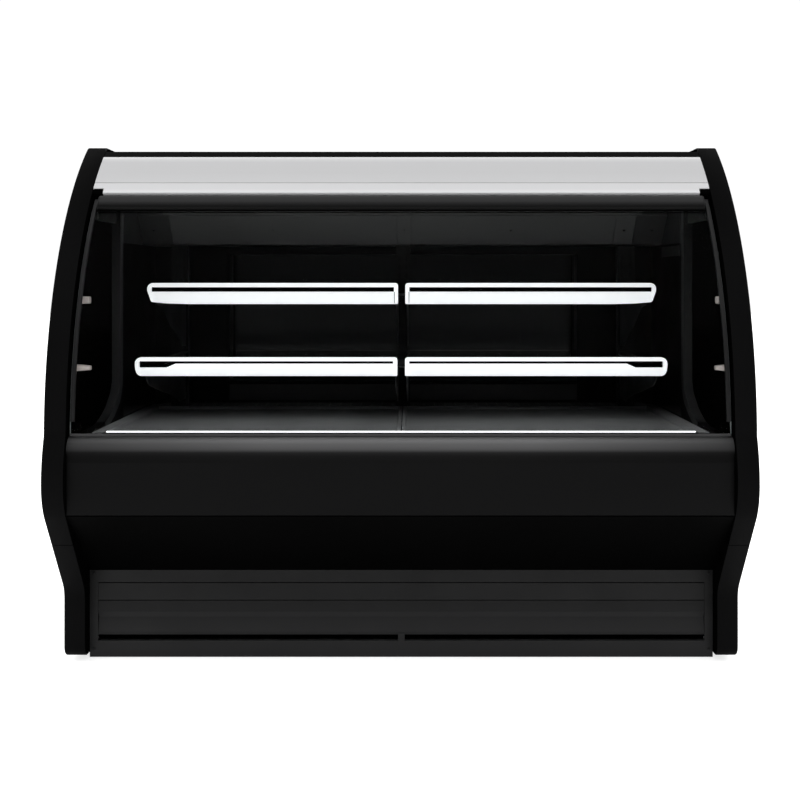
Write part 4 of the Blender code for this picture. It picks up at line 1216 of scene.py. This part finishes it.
def make_rear_door(side):
    body = "rear_door_" + side
    paint("rear_door_frame_" + side, "door_frame_black", 0.001, 2)
    paint("rear_door_glass_" + side, "tinted_glass", 0.0)
    low, high, front, rear = reach_of("rear_door_glass_" + side)
    seal = bmesh.new()
    for depth in (front - 0.0016, rear + HAIR):
        add_ring(seal, (low.x + 0.004, high.x - 0.004, low.z + 0.004, high.z - 0.004), 0.0042, depth,
                 0.0014)
    make_piece("rear_door_seal_" + side, seal, "slot_dark", body, bevel=0.0004)
    piece_of("rear_door_line_" + side, "grey_anodised", add_box, (low.x + 0.005, high.x - 0.005),
             (front - 0.0016, front - HAIR), (0.6955, 0.6985), body=body)
    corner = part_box("rear_door_frame_" + side)
    mitre = bmesh.new()
    stile = low.x - corner[0].x
    for x, xo in ((corner[0].x, 1), (corner[1].x, -1)):
        for z, zo in ((corner[0].z, 1), (corner[1].z, -1)):
            a = (x + xo * 0.0015, z + zo * 0.0015)
            b = (x + xo * (stile - 0.0025), z + zo * (stile - 0.0025))
            side_step = 0.0002
            ends = ((a, -1), (a, 1), (b, 1), (b, -1))
            line = [(p[0] + way * side_step * xo, p[1] - way * side_step * zo) for p, way in ends]
            add_plate(mitre, line, front - 0.0037, front - 0.0034)
            add_plate(mitre, line, rear + 0.0034, rear + 0.0037)
    make_piece("rear_door_mitres_" + side, mitre, "slot_dark", body)


def make_service_panel():
    """A screwed-on cover with two columns of pressed, hooded louvres."""
    node = "rear_service_panel"
    low, high, front, rear = reach_of(node)
    columns = [(-0.65, -0.27), (-0.13, 0.25)]
    rows = [(0.1 + 0.035 * k, 0.11 + 0.035 * k) for k in range(6)]
    xs, open_columns = breaks(low.x, high.x, columns)
    zs, open_rows = breaks(low.z, high.z, rows)
    shape = bmesh.new()
    add_pierced(shape, xs, zs, lambda i, j: i in open_columns and j in open_rows, rear - 0.0025, 0.0015)
    for x in ((low.x, low.x + 0.0015), (high.x - 0.0015, high.x)):
        add_box(shape, x, (front, rear - 0.0025), (low.z, high.z))
    make_piece("rear_service_cover", shape, "fascia_black", replaces=node, slot="painted_steel",
               bevel=0.0005)
    hoods = bmesh.new()
    for x_low, x_high in columns:
        for bottom, top in rows:
            add_hood(hoods, x_low - 0.003, x_high + 0.003, bottom, top + 0.004, rear - 0.0012)
    make_piece("rear_louvre_hoods", hoods, "fascia_black", slot="painted_steel", smooth=50)
    spots = [(x, rear - 0.001, z) for x in (low.x + 0.012, -0.2, high.x - 0.012)
             for z in (low.z + 0.012, high.z - 0.012)]
    screws("rear_cover_screws", spots, (0, 1, 0))
    low_tub, high_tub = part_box("insulated_tub")
    back_skin = bmesh.new()
    tub_rear = high_tub.y - FRONT
    for k in range(3):
        z = low_tub.z + 0.045 + 0.05 * k
        profile = [(tub_rear - HAIR, z - 0.006), (tub_rear + 0.0012, z - 0.003),
                   (tub_rear + 0.0012, z + 0.003), (tub_rear - HAIR, z + 0.006)]
        add_prism(back_skin, profile, -0.7, 0.7)
    make_piece("tub_rear_swages", back_skin, "tub_coated", slot="tub_skin")


def add_hood(shape, x_low, x_high, bottom, top, depth):
    """A louvre pressed outwards: closed at the top and the ends, open along the bottom."""
    steps, rows = 24, 5
    outer = []
    for r in range(rows + 1):
        t = r / rows
        line = []
        for s in range(steps + 1):
            a = s / steps
            ends = min(1.0, min(a, 1 - a) * steps / 1.6)
            bulge = 0.0075 * sin(t * pi / 2) ** 0.8 * ends**0.5
            line.append(Vector((x_low + (x_high - x_low) * a, FRONT + depth + bulge,
                                top - (top - bottom) * t)))
        outer.append(line)
    for offset in (0.0, -0.001):
        grid = [[shape.verts.new(p + Vector((0, offset, 0))) for p in line] for line in outer]
        for r in range(rows):
            for s in range(steps):
                shape.faces.new((grid[r][s], grid[r][s + 1], grid[r + 1][s + 1], grid[r + 1][s]))
        if offset == 0.0:
            first = grid
    borders = []
    for sheet in (first, grid):
        right_side = [line[-1] for line in sheet[1:]]
        left_side = [line[0] for line in sheet[-2:0:-1]]
        borders.append(sheet[0] + right_side + sheet[-1][-2::-1] + left_side)
    add_skin(shape, borders[0], borders[1])


def make_control_panel():
    node = "control_panel"
    paint(node, "fascia_black", 0.0006)
    low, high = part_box(node)
    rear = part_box("rear_service_panel")[1].y - FRONT
    spots = [(x, rear, z) for x in (low.x + 0.012, high.x - 0.012) for z in (low.z + 0.012, high.z - 0.012)]
    screws("control_panel_screws", spots, (0, 1, 0))
    bezel = bmesh.new()
    marks = bmesh.new()
    for name in ("power_switch", "light_switch"):
        paint(name, "moulded_black", 0.0008)
        a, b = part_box(name)
        x = (a.x + b.x) / 2
        add_ring(bezel, (x - 0.0113, x + 0.0113, 0.234, 0.266), 0.003, rear + HAIR, 0.0016)
        outline = arc((x, 0.2795), 0.0032, 0, 360, 20)[:-1]
        ring_in = arc((x, 0.2795), 0.0024, 0, 360, 20)[:-1]
        add_flat_ring(marks, outline, ring_in, rear + 0.0003)
        add_plate(marks, oblong(x - 0.0005, x + 0.0005, 0.2205, 0.2265), rear + 0.0001, rear + 0.0005)
    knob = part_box("thermostat_knob")
    middle = ((knob[0].x + knob[1].x) / 2, (knob[0].z + knob[1].z) / 2)
    for k in range(11):
        a = radians(225 - 27 * k)
        near, far = 0.0265, 0.0265 + 0.0025 + 0.0004 * k
        side_step = 0.0004
        direction, across = Vector((cos(a), sin(a))), Vector((-sin(a), cos(a)))
        centre = Vector(middle)
        corners = ((near, 1), (near, -1), (far, -1), (far, 1))
        tick = [tuple(centre + direction * reach + across * side_step * way) for reach, way in corners]
        add_plate(marks, tick, rear + 0.0001, rear + 0.0005)
    make_piece("switch_bezels", bezel, "moulded_black", bevel=0.0005)
    make_piece("control_marks", marks, "white_marks")
    paint("thermostat_knob", "moulded_black", 0.0006)
    pointer = oblong(middle[0] - 0.0006, middle[0] + 0.0006, middle[1] + 0.006, middle[1] + 0.015)
    piece_of("thermostat_pointer", "white_marks", add_plate, pointer, rear + 0.0238, rear + 0.0242,
             body="thermostat_knob")
    dome = [(0.0036, 0), (0.0036, 0.0012), (0.0028, 0.0022), (0.0012, 0.0027), (0.0002, 0.0028)]
    piece_of("pilot_lamp", "pilot_green", add_turned, dome, (0.5, FRONT + rear + HAIR, 0.3), "Y", 18)
    gland = bmesh.new()
    centre = (0.69, FRONT + rear + HAIR, 0.09)
    add_hex(gland, 0.0125, centre, 0.0, 0.0055)
    make_piece("gland_nut", gland, "moulded_black", bevel=0.0006)
    label = rounded(oblong(0.45, 0.57, 0.135, 0.185), 0.004, 4)
    piece_of("blank_rating_plate", "brushed_stainless", add_plate, label, rear + HAIR, rear + 0.0009,
             bevel=0.0002)


def add_flat_ring(shape, outer, inner, depth):
    """A closed washer between two outlines of the same length, its outer face at the depth."""
    rings = []
    for outline, d in ((outer, depth), (inner, depth), (inner, depth - HAIR), (outer, depth - HAIR)):
        rings.append([shape.verts.new((x, *at(d, z))) for x, z in outline])
    for k in range(4):
        add_skin(shape, rings[k], rings[(k + 1) % 4])


def add_hex(shape, radius, centre, start, end):
    rings = []
    for along in (start, end):
        ring = []
        for k in range(6):
            a = pi / 3 * k
            ring.append(shape.verts.new((centre[0] + radius * cos(a), centre[1] + along,
                                         centre[2] + radius * sin(a))))
        rings.append(ring)
    add_rings(shape, rings)


# ---------------------------------------------------------------- base and machinery


def make_base():
    paint("base_tray", "galvanised", 0.001)
    for number in range(1, 5):
        node = "levelling_foot_%d" % number
        low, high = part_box(node)
        centre = ((low.x + high.x) / 2, (low.y + high.y) / 2, 0)
        foot = bmesh.new()
        outline = [(0.023, 0.0), (0.024, 0.001), (0.024, 0.005), (0.0225, 0.0075), (0.015, 0.0115),
                   (0.01, 0.0135)]
        add_turned(foot, outline, centre, "Z", 36)
        make_piece("foot_pad_%d" % number, foot, "black_rubber", replaces=node, slot="rubber")
        stem = bmesh.new()
        thread = []
        height = 0.0136
        while height < 0.044:
            thread += [(0.005, height), (0.006, height + 0.0007)]
            height += 0.0014
        add_turned(stem, thread, centre, "Z", 24)
        for nut_low, nut_high in ((0.016, 0.0215), (0.0385, 0.044)):
            add_turned(stem, [(0.0105, nut_low), (0.0105, nut_high)], centre, "Z", 6)
        make_piece("foot_stem_%d" % number, stem, "galvanised", slot="rubber", smooth=40)


def make_fin_block(name, count, tubes):
    """A pack of thin fins between end plates, with return bends standing out of the ends."""
    node = name + "_coil"
    low, high, front, rear = reach_of(node)
    shape = bmesh.new()
    edge = 0.0015
    bend = 0.022
    start, end = low.x + bend, high.x - bend
    for k in range(count):
        x = start + (end - start) * k / (count - 1)
        thick = edge if k in (0, count - 1) else 0.0003
        add_box(shape, (x - thick / 2, x + thick / 2), (front + 0.001, rear - 0.001),
                (low.z, high.z - 0.001))
    make_piece(name + "_fins", shape, "fin_aluminium", replaces=node, slot="fins")
    loops = bmesh.new()
    for depth, height, across in tubes(front, rear, low.z, high.z):
        for x, sign in ((start, -1), (end, 1)):
            add_bend(loops, x, sign, depth, height, across)
    make_piece(name + "_bends", loops, "copper_tube", smooth=60)


def add_bend(shape, x, sign, depth, height, across):
    """A half-circle tube out of an end plate and back in, its two legs across apart in depth."""
    tube_radius, steps, sides = 0.0042, 10, 10
    reach = across / 2
    previous = None
    for k in range(steps + 1):
        a = pi * k / steps
        centre = Vector((x + sign * (0.002 + reach * sin(a)), FRONT + depth - reach * cos(a), height))
        forward = Vector((sign * cos(a), sin(a), 0))
        outward = Vector((0, 0, 1))
        sideways = forward.cross(outward)
        ring = []
        for s in range(sides):
            b = 2 * pi * s / sides
            ring.append(shape.verts.new(centre + outward * tube_radius * cos(b)
                                        + sideways * tube_radius * sin(b)))
        if previous:
            add_skin(shape, previous, ring)
        else:
            shape.faces.new(ring)
        previous = ring
    shape.faces.new(previous)


def make_machinery():
    def evaporator_tubes(front, rear, low, high):
        rows = [low + 0.025 + 0.028 * k for k in range(int((high - low - 0.03) / 0.028) + 1)]
        return [(front + 0.05 + 0.05 * c, z, 0.025) for z in rows if z < high - 0.01 for c in range(3)]

    def condenser_tubes(front, rear, low, high):
        rows = [low + 0.02 + 0.027 * k for k in range(10)]
        return [((front + rear) / 2, z, 0.026) for z in rows if z < high - 0.01]

    make_fin_block("evaporator", 150, evaporator_tubes)
    make_fin_block("condenser", 110, condenser_tubes)
    paint("evaporator_fan", "moulded_black", 0.0006)
    paint("evaporator_fan_shroud", "galvanised", 0.0004)
    paint("condenser_fan", "moulded_black", 0.0008)
    paint("condenser_fan_shroud", "black_enamel", 0.0005)
    paint("drain_pan", "brushed_stainless", 0.0008)

    low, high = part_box("compressor")
    cx, cy = (low.x + high.x) / 2, (low.y + high.y) / 2
    floor = low.z
    shell = bmesh.new()
    wall = [(0.06, 0.006), (0.072, 0.012), (0.0765, 0.024), (0.078, 0.06), (0.0815, 0.064)]
    wall += [(0.082, 0.068), (0.082, 0.074), (0.0815, 0.078), (0.078, 0.081), (0.077, 0.15)]
    outline = [(radius, floor + height) for radius, height in wall]
    angles = [radians(9 * k) for k in range(1, 10)]
    outline += [(0.077 * cos(a), floor + 0.15 + 0.045 * sin(a)) for a in angles]
    outline += [(0.001, floor + 0.1955)]
    add_turned(shell, outline, (cx, cy, 0), "Z", 56)
    make_piece("compressor_shell", shell, "black_enamel", replaces="compressor", slot="black_enamel",
               smooth=30)
    mount = bmesh.new()
    plate = rounded(oblong(-0.088, 0.088, -0.062, 0.062), 0.02, 6)
    rings = [[mount.verts.new((cx + x, cy + y, z)) for x, y in plate]
             for z in (floor + 0.0065, floor + 0.0095)]
    add_rings(mount, rings)
    make_piece("compressor_feet_plate", mount, "black_enamel", bevel=0.0005)
    grommets = bmesh.new()
    below = [(0.009, 0.0), (0.01, 0.0015), (0.0085, 0.004), (0.0085, 0.0065)]
    above = [(0.009, 0.0098), (0.0105, 0.0115), (0.008, 0.0145), (0.003, 0.015)]
    for x in (-0.07, 0.07):
        for y in (-0.046, 0.046):
            for profile in (below, above):
                add_turned(grommets, profile, (cx + x, cy + y, floor), "Z", 18)
    make_piece("compressor_grommets", grommets, "black_rubber")
    box = bmesh.new()
    depth = cy - FRONT
    add_box(box, (cx + 0.0765, cx + 0.112), (depth - 0.032, depth + 0.032), (floor + 0.085, floor + 0.14))
    make_piece("compressor_terminal_box", box, "moulded_black", bevel=0.003, segments=3)

    top = floor + 0.12
    tube("discharge_pipe", [(cx - 0.0765, depth - 0.01, top - 0.03),
                            (cx - 0.11, depth - 0.01, top - 0.03), (cx - 0.13, depth - 0.03, top),
                            (cx - 0.14, 0.6, 0.24), (-0.02, 0.5, 0.26), (-0.1, 0.4, 0.285),
                            (-0.13, 0.33, 0.29), (-0.16, 0.318, 0.29), (-0.192, 0.318, 0.29)], 0.004,
         "copper_tube")
    tube("liquid_pipe", [(-0.19, 0.318, 0.075), (-0.15, 0.318, 0.075), (-0.1, 0.34, 0.075),
                         (-0.04, 0.42, 0.078), (0.0, 0.5, 0.08), (0.02, 0.56, 0.082),
                         (0.04, 0.6, 0.082)], 0.0034, "copper_tube")
    receiver = bmesh.new()
    profile = [(0.004, -0.004), (0.02, 0.0), (0.03, 0.01), (0.03, 0.13), (0.02, 0.14), (0.004, 0.144)]
    add_turned(receiver, profile, (0.055, FRONT + 0.605, 0.055), "Z", 32)
    make_piece("liquid_receiver", receiver, "black_enamel", smooth=30)
    tube("expansion_pipe", [(0.055, 0.605, 0.199), (0.055, 0.605, 0.23), (0.058, 0.61, 0.27),
                            (0.07, 0.63, 0.31), (0.072, 0.64, 0.34), (0.072, 0.64, 0.3565)], 0.0034,
         "copper_tube")
    tube("suction_pipe", [(cx - 0.05, depth, floor + 0.18), (cx - 0.055, depth, floor + 0.215),
                          (cx - 0.06, depth - 0.01, 0.29), (cx - 0.1, depth - 0.05, 0.31),
                          (cx - 0.14, depth - 0.06, 0.325), (cx - 0.14, depth - 0.06, 0.3565)], 0.009,
         "black_rubber")
    tube("drain_hose", [(-0.37, 0.78, 0.3565), (-0.37, 0.78, 0.3), (-0.365, 0.782, 0.22),
                        (-0.38, 0.775, 0.15), (-0.37, 0.775, 0.092)], 0.011, "moulded_black")
    tube("fan_lead", [(-0.35, 0.446, 0.205), (-0.34, 0.47, 0.2), (-0.25, 0.5, 0.1), (-0.05, 0.6, 0.056),
                      (0.2, 0.9, 0.056), (0.4, 0.955, 0.075), (0.44, 0.97, 0.12)], 0.0028,
         "moulded_black")
    tube("compressor_lead", [(cx + 0.1, depth + 0.032, floor + 0.1),
                             (cx + 0.102, depth + 0.055, floor + 0.095), (cx + 0.105, 0.88, 0.1),
                             (cx + 0.12, 0.94, 0.1), (cx + 0.12, 0.972, 0.12)], 0.0034, "moulded_black")


# ---------------------------------------------------------------- set


def make_set():
    """A pale floor, soft light and a level camera at the height of the upper shelf."""
    bpy.ops.mesh.primitive_plane_add(size=60, location=(0, 0, 0))
    floor = bpy.context.object
    floor.name = "studio_floor"
    white = Look("studio_white", grey(0.86), 0.9, specular=0.1).glow((1, 1, 1), 0.75)
    floor.data.materials.append(white.material)

    world = bpy.data.worlds.new("studio")
    bpy.context.scene.world = world
    world.use_nodes = True
    tree = world.node_tree
    tree.nodes.clear()
    output = tree.nodes.new("ShaderNodeOutputWorld")
    seen = tree.nodes.new("ShaderNodeBackground")
    seen.inputs["Color"].default_value = (1, 1, 1, 1)
    seen.inputs["Strength"].default_value = 1.05
    light = tree.nodes.new("ShaderNodeBackground")
    light.inputs["Strength"].default_value = 1.0
    where = tree.nodes.new("ShaderNodeTexCoord")
    split = tree.nodes.new("ShaderNodeSeparateXYZ")
    ramp = tree.nodes.new("ShaderNodeMapRange")
    for key, value in (("From Min", -0.1), ("From Max", 1.0), ("To Min", 0.06), ("To Max", 0.42)):
        ramp.inputs[key].default_value = value
    tree.links.new(where.outputs["Generated"], split.inputs["Vector"])
    tree.links.new(split.outputs["Z"], ramp.inputs["Value"])
    tree.links.new(ramp.outputs["Result"], light.inputs["Color"])
    path = tree.nodes.new("ShaderNodeLightPath")
    mix = tree.nodes.new("ShaderNodeMixShader")
    tree.links.new(path.outputs["Is Camera Ray"], mix.inputs["Fac"])
    tree.links.new(light.outputs["Background"], mix.inputs[1])
    tree.links.new(seen.outputs["Background"], mix.inputs[2])
    tree.links.new(mix.outputs["Shader"], output.inputs["Surface"])

    sun_data = bpy.data.lights.new("soft_sun", "SUN")
    sun_data.energy = 2.7
    sun_data.angle = radians(110)
    sun = bpy.data.objects.new("soft_sun", sun_data)
    sun.rotation_euler = (radians(2), 0, 0)
    bpy.context.scene.collection.objects.link(sun)

    def softbox(name, location, size, energy, target):
        data = bpy.data.lights.new(name, "AREA")
        data.shape = "RECTANGLE"
        data.size, data.size_y = size
        data.energy = energy
        lamp = bpy.data.objects.new(name, data)
        lamp.location = location
        aim = Vector(target) - Vector(location)
        lamp.rotation_euler = aim.to_track_quat("-Z", "Y").to_euler()
        bpy.context.scene.collection.objects.link(lamp)

    softbox("front_softbox", (0.0, -4.2, 2.6), (3.2, 1.2), 14, (0, 0, 0.7))
    softbox("left_softbox", (-3.8, 0.4, 2.0), (1.6, 1.6), 30, (0, 0, 0.7))
    softbox("right_softbox", (3.8, 0.4, 2.0), (1.6, 1.6), 30, (0, 0, 0.7))
    softbox("rear_softbox", (0.0, 4.0, 2.4), (3.2, 1.4), 80, (0, 0, 0.7))

    data = bpy.data.cameras.new("camera")
    camera = bpy.data.objects.new("camera", data)
    distance, eye, aside = 2.8, 0.91, 0.0266
    camera.location = (aside, FRONT - distance, eye)
    camera.rotation_euler = (radians(90), 0, 0)
    data.sensor_width = 36
    data.lens = 56.73
    data.shift_x = -0.0154
    data.shift_y = -0.15
    bpy.context.scene.collection.objects.link(camera)
    bpy.context.scene.camera = camera
    view = bpy.context.scene.view_settings
    view.view_transform = "Standard"
    view.look = "None"


make_set()
make_end_panels()
make_front()
make_canopy()
make_front_glass()
make_header()
make_side_liners()
make_uprights()
make_brackets()
make_shelves()
make_deck()
make_grille()
make_rear()
make_base()
make_machinery()
